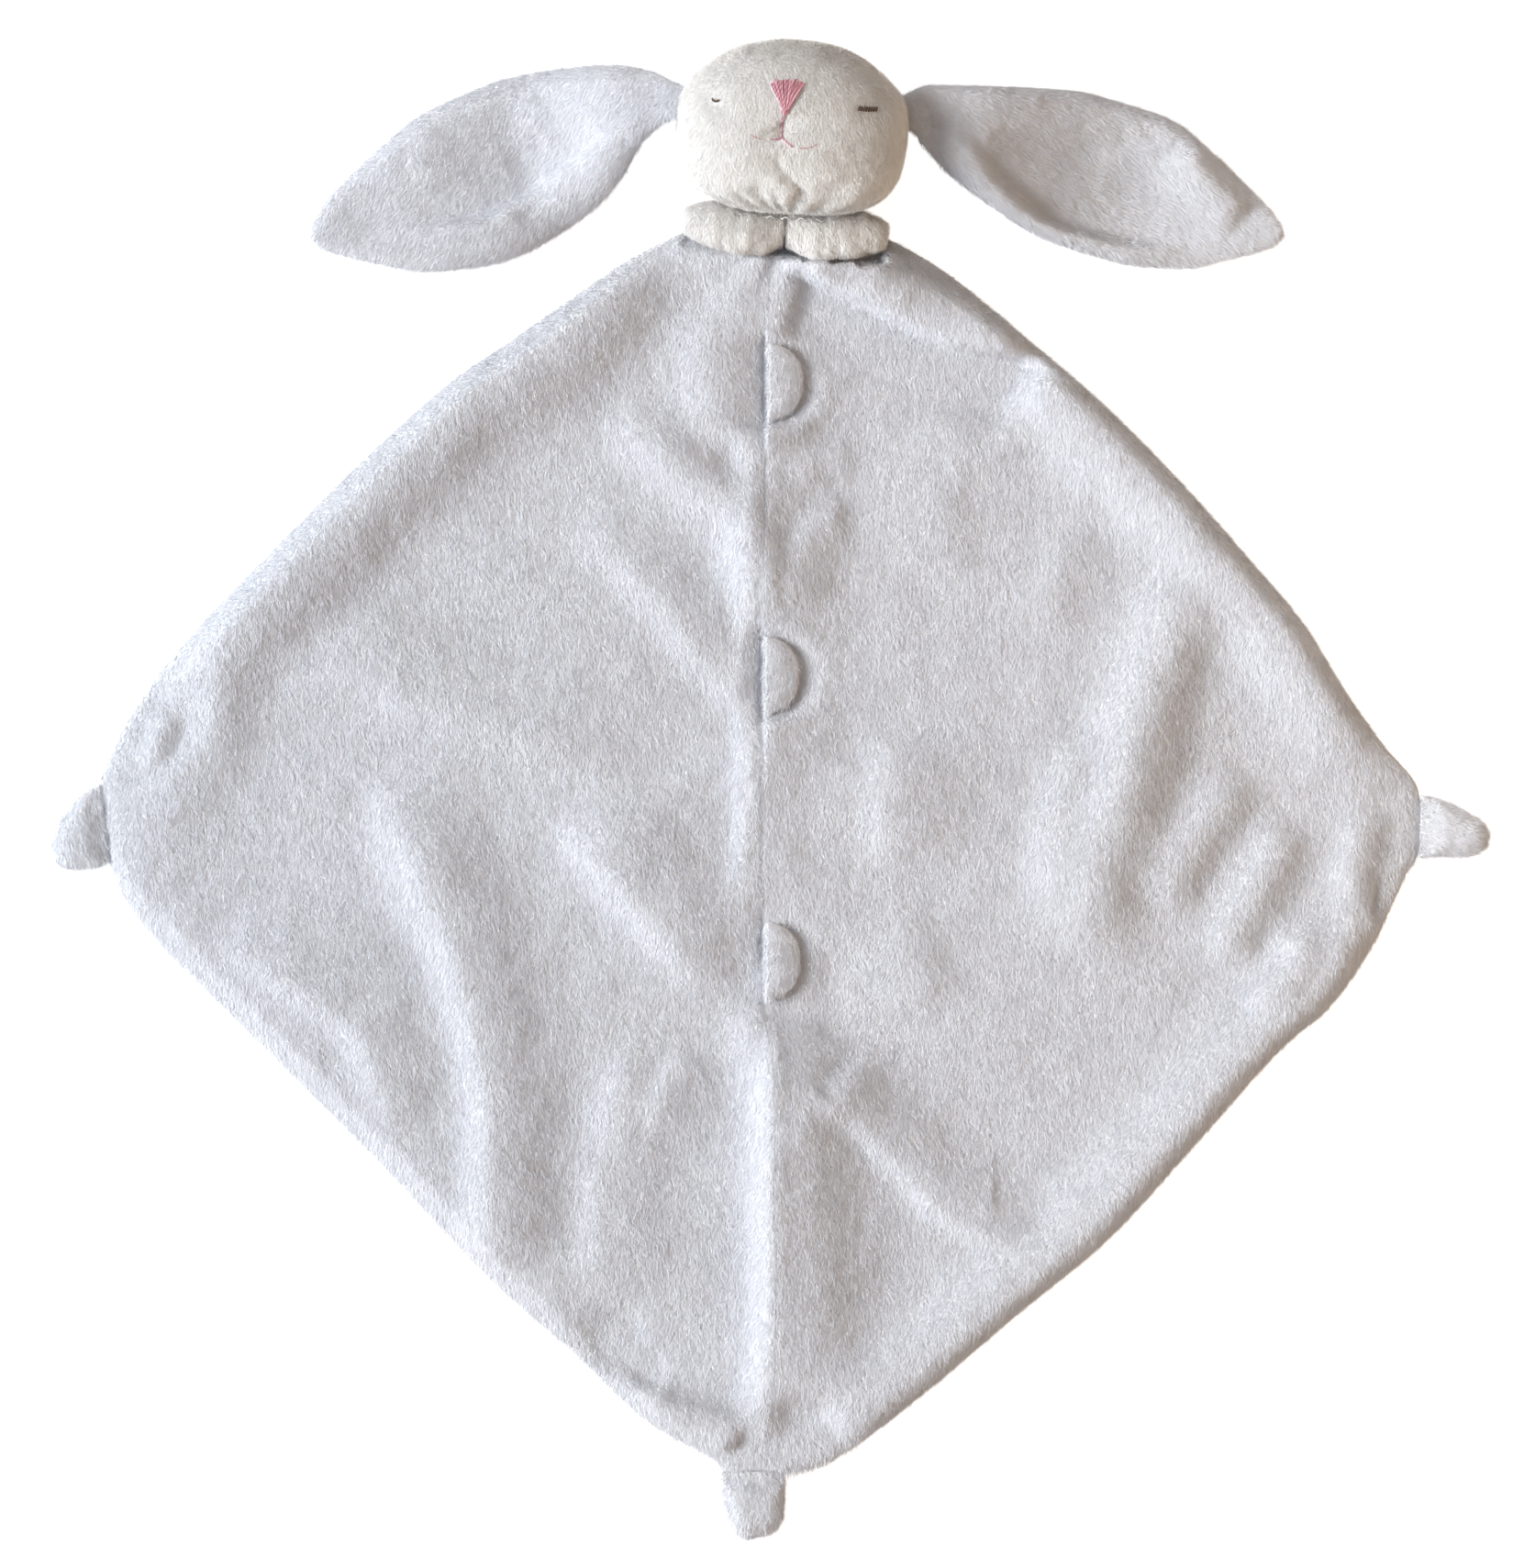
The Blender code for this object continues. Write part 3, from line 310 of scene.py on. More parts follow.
# Tabs: half-moons of two cloths, sewn into the middle seam
TABS = ("tab_upper", "tab_middle", "tab_lower")
TAB_GRID = (26, 30)
TAB_HALF_LENGTH = 13.6
TAB_REACH = 12.6
TAB_HALF = 1.6
TAB_SINK = 0.9               # the tab's middle lies this far under its CAD solids' underside
TAB_DROOP = 0.13             # slope towards its free edge
TAB_FLOOR = 5.8              # lowest that its underside comes

# Room to turn over: slopes that the cloth keeps under, where tabs and paws come down on it
TAB_ROOM = (22.0, 17.0)      # the front cloth lies flat this far round a tab: across and along
LEAST_RISE = 0.3
TAB_RISE = 0.3               # beside a tab's seam
TAB_END_RISE = 0.6           # past its ends
CORNER_RISE = 0.24           # at the bottom paw
SIDE_RISE = 0.25             # at the paws on the left and the right
PAW_REACH = 22.0             # which don't reach past this
NO_LIMIT = 99.0

# Head
HEAD_HALVES = (42.0, 32.0, 30.0)
HEAD_REACH = 37.6            # from the neck to the middle of the head
HEAD_MIDDLE = 29.5           # height of its middle
HEAD_INSET = 1.3             # the pile stands this far over the backing
HEAD_FLOOR = TABLE_GAP + 1.0
HEAD_TOP_EXPONENT = 2.1
HEAD_CHIN_EXPONENT = 3.1
SIDE_SEAM_DEPTH = 1.1
CHIN_PLEATS = 19
CHIN_PLEAT_DEPTH = 0.9
# Places on the face (x, y)
NOSE_TOP = (6.6, 253.9)
NOSE_POINT = (5.8, 242.4)
NOSE_HALF_WIDTH = 6.1
NOSE_BOW = -0.2
NOSE_THREADS = 19
NOSE_STEPS = 9
STEM = [(5.8, 242.4), (4.6, 238.2), (4.3, 233.4)]
MOUTH_LEFT = [(4.3, 233.4), (2.6, 232.6), (1.0, 232.7)]
MOUTH_RIGHT = [(4.3, 233.4), (6.2, 231.6), (8.4, 229.8)]
MOUTH_ENDS = [[(-6.8, 234.4), (-4.6, 233.2), (-2.4, 232.6)], [(10.6, 229.4), (14.0, 229.6), (17.4, 231.0)]]
EYE_LEFT = [(-20.4, 247.4), (-19.7, 246.5), (-18.8, 246.4), (-17.9, 246.9)]
EYE_RIGHT = [(32.4, 243.9), (35.4, 243.6), (38.6, 243.7)]
STRAND_STEPS = 14
PLY_OFFSET = 0.16            # of a thread's two plies from its middle
# Creases of the face, as folds are given
CREASES = [
    # Chin seam
    (-1.1, 1.6, 2.4, 0.25, 0.2, [(4.2, 230.5), (3.3, 224.4), (6.9, 220.1), (11.2, 215.8), (16.2, 211.5)]),
    # Under the nose
    (-0.7, 2.6, 2.6, 0.3, 0.3, [(5.6, 242), (4.4, 236), (4.1, 229.6)]),
    # Dip round the mouth
    (-1.6, 7, 7, 0.3, 0.3, [(3, 240), (5, 236), (7, 232)]),
    # Dips at the eyes
    (-1, 5, 5, 0, 0, [(-20, 247), (-18, 246.5)]),
    (-1, 5, 5, 0, 0, [(33, 243.8), (38, 243.8)]),
    # Cheeks
    (1.2, 9, 9, 0.3, 0.3, [(-12, 232), (-8, 222), (-4, 214)]),
    (1.2, 8, 8, 0.3, 0.3, [(15, 231), (19, 222), (22, 215)]),
    # Beside the chin seam
    (1.2, 4, 4, 0.2, 0.2, [(2, 222), (4, 216), (9, 212)]),
]

# Pile: sizes in metres, density per square metre, angles in radians
PILE = {
    "Density": 6.9e6, "Length": 0.0029, "Width": 0.00022, "Lean": 1.03, "Spread": 0.36,
    "Brushing": 1.0, "Patch": 0.007, "Clump": 0.003,
}
STRAY = 0.45                 # how far one fibre leaves the nap
ROLL_OVER = 0.72             # how far it rolls about itself
FIBRE_LENGTHS = (0.65, 1.15)
TUFT_LENGTHS = (0.72, 1.25)

# Cloth that a cover is made of while it is puffed up
PUFF = {
    "quality": 5, "mass": 0.2, "tension_stiffness": 12, "compression_stiffness": 12, "shear_stiffness": 6,
    "bending_stiffness": 0.6, "use_pressure": True,
}

CAMERA_HEIGHT = 12.0
PHOTO_HEIGHT = 0.564         # what the photograph shows from its top edge to its bottom edge


# Shapes of cloth


def hex_colour(text):
    """Linear colour of an sRGB hex value."""
    parts = [int(text[start:start + 2], 16) / 255 for start in (0, 2, 4)]
    return (*[part / 12.92 if part <= 0.04045 else ((part + 0.055) / 1.055) ** 2.4 for part in parts], 1.0)


def smoothstep(share):
    share = np.clip(share, 0, 1)
    return share * share * (3 - 2 * share)


def curve_through(table, places):
    """Values at places, on a smooth curve through (place, value) pairs that never overshoots them."""
    at, values = np.array(table, float).T
    steps = np.diff(at)
    rises = np.diff(values) / steps
    slopes = np.concatenate([rises[:1], np.zeros(len(rises) - 1), rises[-1:]])
    before, after = rises[:-1], rises[1:]
    same = before * after > 0
    slopes[1:-1] = np.where(same, 2 * before * after / np.where(same, before + after, 1), 0)
    places = np.clip(places, at[0], at[-1])
    span = np.clip(np.searchsorted(at, places, side="right") - 1, 0, len(steps) - 1)
    step = steps[span]
    share = (places - at[span]) / step
    return (
        values[span] * (1 + 2 * share) * (1 - share) ** 2
        + values[span + 1] * share**2 * (3 - 2 * share)
        + step * slopes[span] * share * (1 - share) ** 2
        - step * slopes[span + 1] * share**2 * (1 - share)
    )


def smooth_line(points, count):
    """Smooth line through some points, as count points at even steps."""
    points = np.array(points, float)
    steps = np.linalg.norm(np.diff(points, axis=0), axis=1)
    places = np.concatenate([[0], np.cumsum(steps)])
    wanted = np.linspace(0, places[-1], count)
    return np.stack([curve_through(np.stack([places, column], 1), wanted) for column in points.T], 1)


def headings(line):
    """Unit direction of a line at each of its points."""
    run = np.gradient(line, axis=0)
    return run / np.linalg.norm(run, axis=1, keepdims=True)


def nearest_on(x, y, line):
    """Distance of places from a line, whether they lie on its left, and how far along it, from 0 to 1."""
    steps = np.diff(line, axis=0)
    lengths = np.linalg.norm(steps, axis=1)
    starts = np.concatenate([[0], np.cumsum(lengths)])
    best = np.full(x.shape, np.inf)
    left = np.zeros(x.shape, bool)
    along = np.zeros(x.shape)
    for (from_x, from_y), (step_x, step_y), length, start in zip(line, steps, lengths, starts):
        share = np.clip(((x - from_x) * step_x + (y - from_y) * step_y) / length**2, 0, 1)
        away = np.hypot(x - from_x - share * step_x, y - from_y - share * step_y)
        closer = away < best
        best = np.where(closer, away, best)
        left = np.where(closer, step_x * (y - from_y) - step_y * (x - from_x) > 0, left)
        along = np.where(closer, (start + share * length) / starts[-1], along)
    return best, left, along


def fold_height(x, y, folds):
    """How far some folds raise the cloth at places."""
    lift = np.zeros(x.shape)
    for height, on_left, on_right, fade_in, fade_out, line in folds:
        points = np.array(line)
        reach = 3 * max(on_left, on_right)
        low, high = points.min(0) - reach, points.max(0) + reach
        near = (x > low[0]) & (x < high[0]) & (y > low[1]) & (y < high[1])
        away, left, along = nearest_on(x[near], y[near], smooth_line(line, 4 * len(line)))
        width = np.where(left, on_left, on_right)
        fade = smoothstep(along / fade_in) if fade_in else 1.0
        fade = fade * smoothstep((1 - along) / fade_out) if fade_out else fade
        lift[near] += height * fade * np.exp(-((away / width) ** 2))
    return lift


def ripple(x, y, size, seed):
    """Soft random swells of about one size, from -1 to 1."""
    values = [noise.noise(Vector((a / size, b / size, seed))) for a, b in zip(x.ravel(), y.ravel())]
    return np.array(values).reshape(x.shape)


def ripples(x, y, table):
    """Soft random swells of several sizes, each given as its height, size and seed."""
    return sum(height * ripple(x, y, size, seed) for height, size, seed in table)


def ripple_round(points, size, seed):
    """Soft random swells over a body, from -1 to 1."""
    return np.array([noise.noise(Vector(point) / size + Vector((0, 0, seed))) for point in points])


def rounding(away, width):
    """Share of its full height that a rounded edge has, this far in from its outline."""
    return np.sqrt(1 - (1 - np.clip(away / width, 0, 1)) ** 2)


def crowded(count, crowding):
    """Shares from 0 to 1, closer together near both ends."""
    share = np.linspace(0, 1, count)
    return (1 - crowding) * share + crowding * (0.5 - 0.5 * np.cos(math.pi * share))


def grid_between(first, second, share):
    """Grid of places between two lines that have as many points: x and y."""
    places = first[:, None] + (second - first)[:, None] * share[:, None]
    return places[..., 0], places[..., 1]


def linked(name, data):
    """Object in the scene that shows some data."""
    made = bpy.data.objects.new(name, data)
    bpy.context.scene.collection.objects.link(made)
    return made


def closed_piece(name, points, faces):
    """Smooth closed piece from points in millimetres, with its faces turned outwards."""
    mesh = bpy.data.meshes.new(name)
    mesh.from_pydata((points * MM).tolist(), [], faces)
    work = bmesh.new()
    work.from_mesh(mesh)
    bmesh.ops.recalc_face_normals(work, faces=work.faces)
    work.to_mesh(mesh)
    work.free()
    mesh.shade_smooth()
    return linked(name, mesh)


def set_pile(piece, shares):
    """Share of the full pile that each point of a piece carries."""
    layer = piece.data.attributes.new("pile", "FLOAT", "POINT")
    layer.data.foreach_set("value", np.asarray(shares, np.float32))


def shell(name, x, y, top, bottom, pile_top=1.0, pile_bottom=1.0):
    """Closed cloth between two heights over a grid of places. pile is the share of pile on each side."""
    count = x.size
    index = np.arange(count).reshape(x.shape)
    upper = np.stack([index[:-1, :-1], index[1:, :-1], index[1:, 1:], index[:-1, 1:]], -1).reshape(-1, 4)
    rim = np.concatenate([index[0, :-1], index[:-1, -1], index[-1, :0:-1], index[:0:-1, 0]])
    after = np.roll(rim, -1)
    sides = np.stack([rim, after, after + count, rim + count], 1)
    faces = np.concatenate([upper, upper[:, ::-1] + count, sides])
    points = np.concatenate([np.stack([x, y, height], -1).reshape(-1, 3) for height in (top, bottom)])
    piece = closed_piece(name, points, faces.tolist())
    piles = [np.broadcast_to(pile, x.shape).ravel() for pile in (pile_top, pile_bottom)]
    set_pile(piece, np.concatenate(piles))
    return piece


def points_of(piece):
    points = np.zeros(len(piece.data.vertices) * 3)
    piece.data.vertices.foreach_get("co", points)
    return points.reshape(-1, 3)


def move_points(piece, points):
    piece.data.vertices.foreach_set("co", np.asarray(points, float).ravel())
    piece.data.update()


def puff(piece, still, pressure, most, frames=12):
    """Cloth simulation that blows a sewn cover up between the points that its seams hold still.

    No point moves further than most, in millimetres.
    """
    before = points_of(piece)
    group = piece.vertex_groups.new(name="seams")
    group.add([int(index) for index in np.flatnonzero(still)], 1.0, "REPLACE")
    cloth = piece.modifiers.new("puff", "CLOTH")
    for label, value in PUFF.items():
        setattr(cloth.settings, label, value)
    cloth.settings.uniform_pressure_force = pressure
    cloth.settings.vertex_group_mass = group.name
    cloth.settings.effector_weights.gravity = 0
    cloth.collision_settings.use_collision = False
    cloth.point_cache.frame_start = 1
    cloth.point_cache.frame_end = frames
    for frame_number in range(1, frames + 1):
        bpy.context.scene.frame_set(frame_number)
    blown = piece.evaluated_get(bpy.context.evaluated_depsgraph_get())
    after = points_of(blown)
    piece.modifiers.remove(cloth)
    piece.vertex_groups.remove(group)
    bpy.context.scene.frame_set(1)
    move = np.nan_to_num(after - before)
    far = np.linalg.norm(move, axis=1, keepdims=True)
    move *= np.minimum(1, most * MM / np.maximum(far, 1e-9))
    move_points(piece, before + move)


# Nodes and materials


def add_node(tree, kind, inputs=None, **settings):
    """Node with its settings. inputs maps an input's name or number to a value or another node's output."""
    node = tree.nodes.new(kind)
    for name, value in settings.items():
        setattr(node, name, value)
    for name, value in (inputs or {}).items():
        if isinstance(value, bpy.types.NodeSocket):
            tree.links.new(value, node.inputs[name])
        else:
            node.inputs[name].default_value = value
    return node


def maths(tree, operation, *values):
    """Output of a node that works out a number."""
    return add_node(tree, "ShaderNodeMath", dict(enumerate(values)), operation=operation).outputs[0]


def vector_maths(tree, operation, *values):
    """Output of a node that works out a vector, or a number for a dot product."""
    numbers = (0, "Scale") if operation == "SCALE" else (0, 1)
    node = add_node(tree, "ShaderNodeVectorMath", dict(zip(numbers, values)), operation=operation)
    return node.outputs["Value" if operation == "DOT_PRODUCT" else "Vector"]


def noise_node(tree, place, scale, detail):
    return add_node(tree, "ShaderNodeTexNoise", {"Vector": place, "Scale": scale, "Detail": detail}).outputs


def between_colours(tree, share, dark, light):
    """Output of a node that mixes two colours."""
    inputs = {0: share, 6: hex_colour(dark), 7: hex_colour(light)}
    return add_node(tree, "ShaderNodeMix", inputs, data_type="RGBA").outputs[2]


def bump(tree, height, strength, distance):
    inputs = {"Height": height, "Strength": strength, "Distance": distance}
    return add_node(tree, "ShaderNodeBump", inputs).outputs["Normal"]


def new_material(name):
    """Empty material, its tree, its shader and places on the piece."""
    material = bpy.data.materials.new(name)
    material.use_nodes = True
    tree = material.node_tree
    place = add_node(tree, "ShaderNodeTexCoord").outputs["Object"]
    return material, tree, tree.nodes["Principled BSDF"], place


def set_shader(tree, shader, links, roughness, gloss=0.5):
    """Links outputs to a shader's inputs and sets how rough and how glossy it is."""
    for label, output in links.items():
        tree.links.new(output, shader.inputs[label])
    shader.inputs["Roughness"].default_value = roughness
    shader.inputs["Specular IOR Level"].default_value = gloss


def plush_backing():
    """Knitted polyester that the pile stands on: matt and soft, only seen between the fibres."""
    material, tree, shader, place = new_material("knitted polyester backing")
    colour = between_colours(tree, noise_node(tree, place, 90.0, 3.0)["Fac"], "E6E5E5", "F4F4F5")
    # The knit's loops are 0.9 mm apart
    normal = bump(tree, noise_node(tree, place, 1100.0, 1.0)["Fac"], 0.35, 0.0006)
    set_shader(tree, shader, {"Base Color": colour, "Normal": normal}, 0.95, 0.2)
    return material


def plush_pile(name, dark, light):
    """Cut polyester fibres: white, with a weak silky gloss along each, and a little unlike in tone."""
    material, tree, shader, place = new_material(name)
    tint = add_node(tree, "ShaderNodeAttribute", attribute_name="tint").outputs["Fac"]
    share = maths(tree, "MULTIPLY_ADD", noise_node(tree, place, 70.0, 2.0)["Fac"], tint, 0.25)
    set_shader(tree, shader, {"Base Color": between_colours(tree, share, dark, light)}, 0.55, 0.35)
    return material


def thread_material(name, dark, light, roughness):
    """Embroidery thread: twisted plies give it fine slanted ridges, and its gloss is soft. Its colour holds
    painted shade in slanted bands, darker in the grooves between the plies and a painted highlight on their
    crests, mixed with random tone.
    """
    material, tree, shader, place = new_material(name)
    slant = add_node(tree, "ShaderNodeMapping", {"Vector": place, "Rotation": (0.0, 0.0, 0.6)})
    ply_ridges_and_painted_shade = add_node(tree, "ShaderNodeTexWave", {
        "Vector": slant.outputs["Vector"], "Scale": 260.0, "Distortion": 1.5, "Detail": 1.0,
    }).outputs["Fac"]
    # Painted shade and highlight: the colour is darker in the grooves between the plies and lighter on their
    # crests, mixed with random tone
    share = maths(tree, "MULTIPLY", ply_ridges_and_painted_shade, noise_node(tree, place, 900.0, 1.0)["Fac"])
    colour = between_colours(tree, share, dark, light)
    set_shader(tree, shader, {"Base Color": colour, "Normal": bump(tree, ply_ridges_and_painted_shade, 0.4, 0.0002)}, roughness)
    return material


def seen_directly(tree):
    """1 for rays from the camera and for what mirrors and clear pieces show, else 0."""
    path = add_node(tree, "ShaderNodeLightPath").outputs
    either = maths(tree, "MAXIMUM", path["Is Camera Ray"], path["Is Glossy Ray"])
    return maths(tree, "MAXIMUM", either, path["Is Transmission Ray"])


# Geometry Nodes


def new_tree(name, sockets):
    """Geometry Nodes tree with named inputs, each given as its kind and first value, and their outputs."""
    tree = bpy.data.node_groups.new(name, "GeometryNodeTree")
    for label, (kind, value) in sockets.items():
        socket = tree.interface.new_socket(name=label, in_out="INPUT", socket_type="NodeSocket" + kind)
        if value is not None:
            socket.default_value = value
    tree.interface.new_socket(name="Geometry", in_out="OUTPUT", socket_type="NodeSocketGeometry")
    return tree, add_node(tree, "NodeGroupInput").outputs


def finish_tree(tree, geometry, material):
    """Makes the tree's result plain mesh in its material."""
    real = add_node(tree, "GeometryNodeRealizeInstances", {"Geometry": geometry}).outputs[0]
    dressed = add_node(tree, "GeometryNodeSetMaterial", {"Geometry": real, "Material": material}).outputs[0]
    add_node(tree, "NodeGroupOutput", {"Geometry": dressed})
    return tree


def compare(tree, operation, value, other):
    return add_node(tree, "FunctionNodeCompare", {0: value, 1: other}, operation=operation).outputs[0]


def random_number(tree, seed, low, high):
    inputs = {2: low, 3: high, "Seed": seed}
    return add_node(tree, "FunctionNodeRandomValue", inputs, data_type="FLOAT").outputs[1]


def random_vector(tree, seed, reach):
    """Random vector between a reach each way."""
    inputs = {0: tuple(-part for part in reach), 1: reach, "Seed": seed}
    return add_node(tree, "FunctionNodeRandomValue", inputs, data_type="FLOAT_VECTOR").outputs[0]


def pile_tree():
    """Tree that grows a pile of flat tapering fibres, which lie over in the direction of the nap.

    A mesh's own attribute, pile, thins and shortens it. Fibres grow only between two places along Y.
    """
    tree, given = new_tree("plush pile", {
        "Geometry": ("Geometry", None), "Density": ("Float", 4e6), "Length": ("Float", 0.0024),
        "Width": ("Float", 0.0003), "Lean": ("Float", 1.0), "Spread": ("Float", 0.3),
        "Nap": ("Vector", (0.0, -1.0, 0.0)), "Brushing": ("Float", 0.6), "Patch": ("Float", 0.02),
        "Clump": ("Float", 0.004), "Seed": ("Int", 1), "From": ("Float", -1.0), "To": ("Float", 1.0),
        "Material": ("Material", None),
    })
    seed = given["Seed"]
    place = add_node(tree, "GeometryNodeInputPosition").outputs[0]
    along = add_node(tree, "ShaderNodeSeparateXYZ", {0: place}).outputs["Y"]
    inside = add_node(tree, "FunctionNodeBooleanMath", {
        0: compare(tree, "GREATER_EQUAL", along, given["From"]),
        1: compare(tree, "LESS_THAN", along, given["To"]),
    }, operation="AND").outputs[0]
    share = add_node(tree, "GeometryNodeInputNamedAttribute", {"Name": "pile"}, data_type="FLOAT").outputs[0]
    roots = add_node(tree, "GeometryNodeDistributePointsOnFaces", {
        "Mesh": given["Geometry"], "Selection": inside, "Seed": seed,
        "Density": maths(tree, "MULTIPLY", given["Density"], share),
    }, distribute_method="RANDOM", use_legacy_normal=False).outputs
    normal = roots["Normal"]

    # The nap, turned from patch to patch as a hand brushes it, and a little from fibre to fibre
    brushed = noise_node(tree, place, maths(tree, "DIVIDE", 1.0, given["Patch"]), 2.0)["Color"]
    centred = vector_maths(tree, "ADD", brushed, (-0.5, -0.5, -0.5))
    turned = vector_maths(tree, "SCALE", centred, given["Brushing"])
    nap = vector_maths(tree, "ADD", given["Nap"], turned)
    nap = vector_maths(tree, "ADD", nap, random_vector(tree, seed, (STRAY, STRAY, STRAY)))
    lifted = vector_maths(tree, "SCALE", normal, vector_maths(tree, "DOT_PRODUCT", nap, normal))
    level = vector_maths(tree, "NORMALIZE", vector_maths(tree, "SUBTRACT", nap, lifted))
    least = maths(tree, "SUBTRACT", given["Lean"], given["Spread"])
    most = maths(tree, "ADD", given["Lean"], given["Spread"])
    lean = random_number(tree, seed, least, most)
    part_up = vector_maths(tree, "SCALE", normal, maths(tree, "COSINE", lean))
    part_level = vector_maths(tree, "SCALE", level, maths(tree, "SINE", lean))
    heading = vector_maths(tree, "ADD", part_up, part_level)

    # Each fibre stands along its heading with its flat side up, then rolls a little about itself
    stood = add_node(tree, "FunctionNodeAlignRotationToVector", {"Vector": heading}, axis="Z").outputs[0]
    faced = add_node(tree, "FunctionNodeAlignRotationToVector", {
        "Rotation": stood, "Vector": normal,
    }, axis="X", pivot_axis="Z").outputs[0]
    rolled = add_node(tree, "FunctionNodeRotateRotation", {
        "Rotation": faced, "Rotate By": random_vector(tree, seed, (0.0, 0.0, ROLL_OVER)),
    }, rotation_space="LOCAL").outputs[0]
    long = maths(tree, "MULTIPLY", given["Length"], random_number(tree, seed, *FIBRE_LENGTHS))
    long = maths(tree, "MULTIPLY", long, share)
    # Fibres cling together in tufts, so they stand longer in some spots
    tuft = noise_node(tree, place, maths(tree, "DIVIDE", 1.0, given["Clump"]), 1.0)["Fac"]
    tuft = add_node(tree, "ShaderNodeMapRange", {
        0: tuft, 1: 0.3, 2: 0.7, 3: TUFT_LENGTHS[0], 4: TUFT_LENGTHS[1],
    }).outputs[0]
    long = maths(tree, "MULTIPLY", long, tuft)
    scale = add_node(tree, "ShaderNodeCombineXYZ", {0: 1.0, 1: given["Width"], 2: long}).outputs[0]

    # One fibre: a triangle 1 wide and 1 long, its root just under the cloth
    blade = add_node(tree, "GeometryNodeMeshCircle", {"Vertices": 3, "Radius": 1.0}, fill_type="NGON")
    blade = add_node(tree, "GeometryNodeTransform", {
        "Geometry": blade.outputs[0], "Rotation": (0.0, -math.pi / 2, 0.0), "Translation": (0.0, 0.0, 0.28),
        "Scale": (1 / 1.5, 1 / 1.732, 1.0),
    })
    grown = add_node(tree, "GeometryNodeInstanceOnPoints", {
        "Points": roots["Points"], "Instance": blade.outputs[0], "Rotation": rolled, "Scale": scale,
    })
    kept = add_node(tree, "GeometryNodeStoreNamedAttribute", {
        "Geometry": grown.outputs[0], "Name": "tint", "Value": random_number(tree, seed, 0.0, 1.0),
    }, data_type="FLOAT", domain="INSTANCE")
    return finish_tree(tree, kept.outputs[0], given["Material"])


def thread_tree():
    """Tree that lays a round thread along each line of a mesh. The mesh's attribute, thick, scales it."""
    tree, given = new_tree("threads", {
        "Geometry": ("Geometry", None), "Radius": ("Float", 0.0003), "Sides": ("Int", 8),
        "Material": ("Material", None),
    })
    lines = add_node(tree, "GeometryNodeMeshToCurve", {"Mesh": given["Geometry"]})
    thick = add_node(tree, "GeometryNodeInputNamedAttribute", {"Name": "thick"}, data_type="FLOAT").outputs[0]
    ring = add_node(tree, "GeometryNodeCurvePrimitiveCircle", {
        "Resolution": given["Sides"], "Radius": given["Radius"],
    })
    thread = add_node(tree, "GeometryNodeCurveToMesh", {
        "Curve": lines.outputs[0], "Profile Curve": ring.outputs[0], "Scale": thick, "Fill Caps": True,
    })
    return finish_tree(tree, thread.outputs[0], given["Material"])


def made_by(tree, name, source, values):
    """Plain mesh piece that a Geometry Nodes tree makes from a source piece."""
    nodes = source.modifiers.new(name, "NODES")
    nodes.node_group = tree
    sockets = {item.name: item.identifier for item in tree.interface.items_tree if item.in_out == "INPUT"}
    for label, value in values.items():
        nodes[sockets[label]] = value
    graph = bpy.context.evaluated_depsgraph_get()
    mesh = bpy.data.meshes.new_from_object(
        source.evaluated_get(graph), preserve_all_data_layers=True, depsgraph=graph
    )
    source.modifiers.remove(nodes)
    mesh.name = name
    return linked(name, mesh)


def grow_pile(skin, body, nap, strips=1, material="pile", **values):
    """Pile on a piece, in strips along Y that each stay small enough, riding on the same body."""
    low, high = points_of(skin)[:, 1].min(), points_of(skin)[:, 1].max()
    ends = np.linspace(low, high, strips + 1)
    ends[0] -= MM
    ends[-1] += MM
    for strip in range(strips):
        name = f"{skin.name}_pile_{strip + 1}" if strips > 1 else f"{skin.name}_pile"
        settings = {**PILE, **values, "Nap": nap, "Seed": 11 + strip, "Material": MATERIALS[material]}
        settings["From"], settings["To"] = float(ends[strip]), float(ends[strip + 1])
        pile = made_by(TREES["pile"], name, skin, settings)
        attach(pile, body)


def thread_piece(name, lines, radius, colour, node):
    """Threads on the head along lines of points in metres, each point with its share of the radius."""
    mesh = bpy.data.meshes.new(name + "_lines")
    points, edges, thick = [], [], []
    for line in lines:
        start = len(points)
        points += [tuple(point[:3]) for point in line]
        thick += [point[3] for point in line]
        edges += [(start + index, start + index + 1) for index in range(len(line) - 1)]
    mesh.from_pydata(points, edges, [])
    mesh.attributes.new("thick", "FLOAT", "POINT").data.foreach_set("value", thick)
    source = linked(name + "_lines", mesh)
    settings = {"Radius": radius * MM, "Sides": 8, "Material": MATERIALS[colour]}
    piece = made_by(TREES["thread"], name, source, settings)
    piece.data.shade_smooth()
    bpy.data.objects.remove(source)
    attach(piece, "head")
    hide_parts(node)


def finish_cloth(piece, body, *nodes):
    """Puts a cloth in its material, on its body and in place of its CAD solids."""
    piece.data.materials.clear()
    piece.data.materials.append(MATERIALS["backing"])
    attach(piece, body)
    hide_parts(*nodes)


# Blanket


def rim_line(side):
    """Outline of one half of the blanket, a little inside what the pile reaches."""
    table = LEFT_RIM if side < 0 else RIGHT_RIM
    line = smooth_line([(x, y) for y, x in table], PANEL_ROWS)
    run = headings(line)
    inward = np.stack([run[:, 1], -run[:, 0]], 1) * side
    return line + inward * RIM_INSET


def collar_height(x, y):
    """Underside of the collar's rolls over a place, or infinity beside them."""
    across = (x - NECK.x) * math.cos(HEAD_TURN) + (y - NECK.y) * math.sin(HEAD_TURN)
    down = (y - NECK.y) * math.cos(HEAD_TURN) - (x - NECK.x) * math.sin(HEAD_TURN)
    under = (np.abs(across) < ROLL_LENGTH) & (np.abs(down) < ROLL_SWEEP)
    depth = np.sqrt(np.clip(ROLL_SWEEP**2 - down**2, 0, None))
    return np.where(under, NECK.z - 0.93 * depth, np.inf)


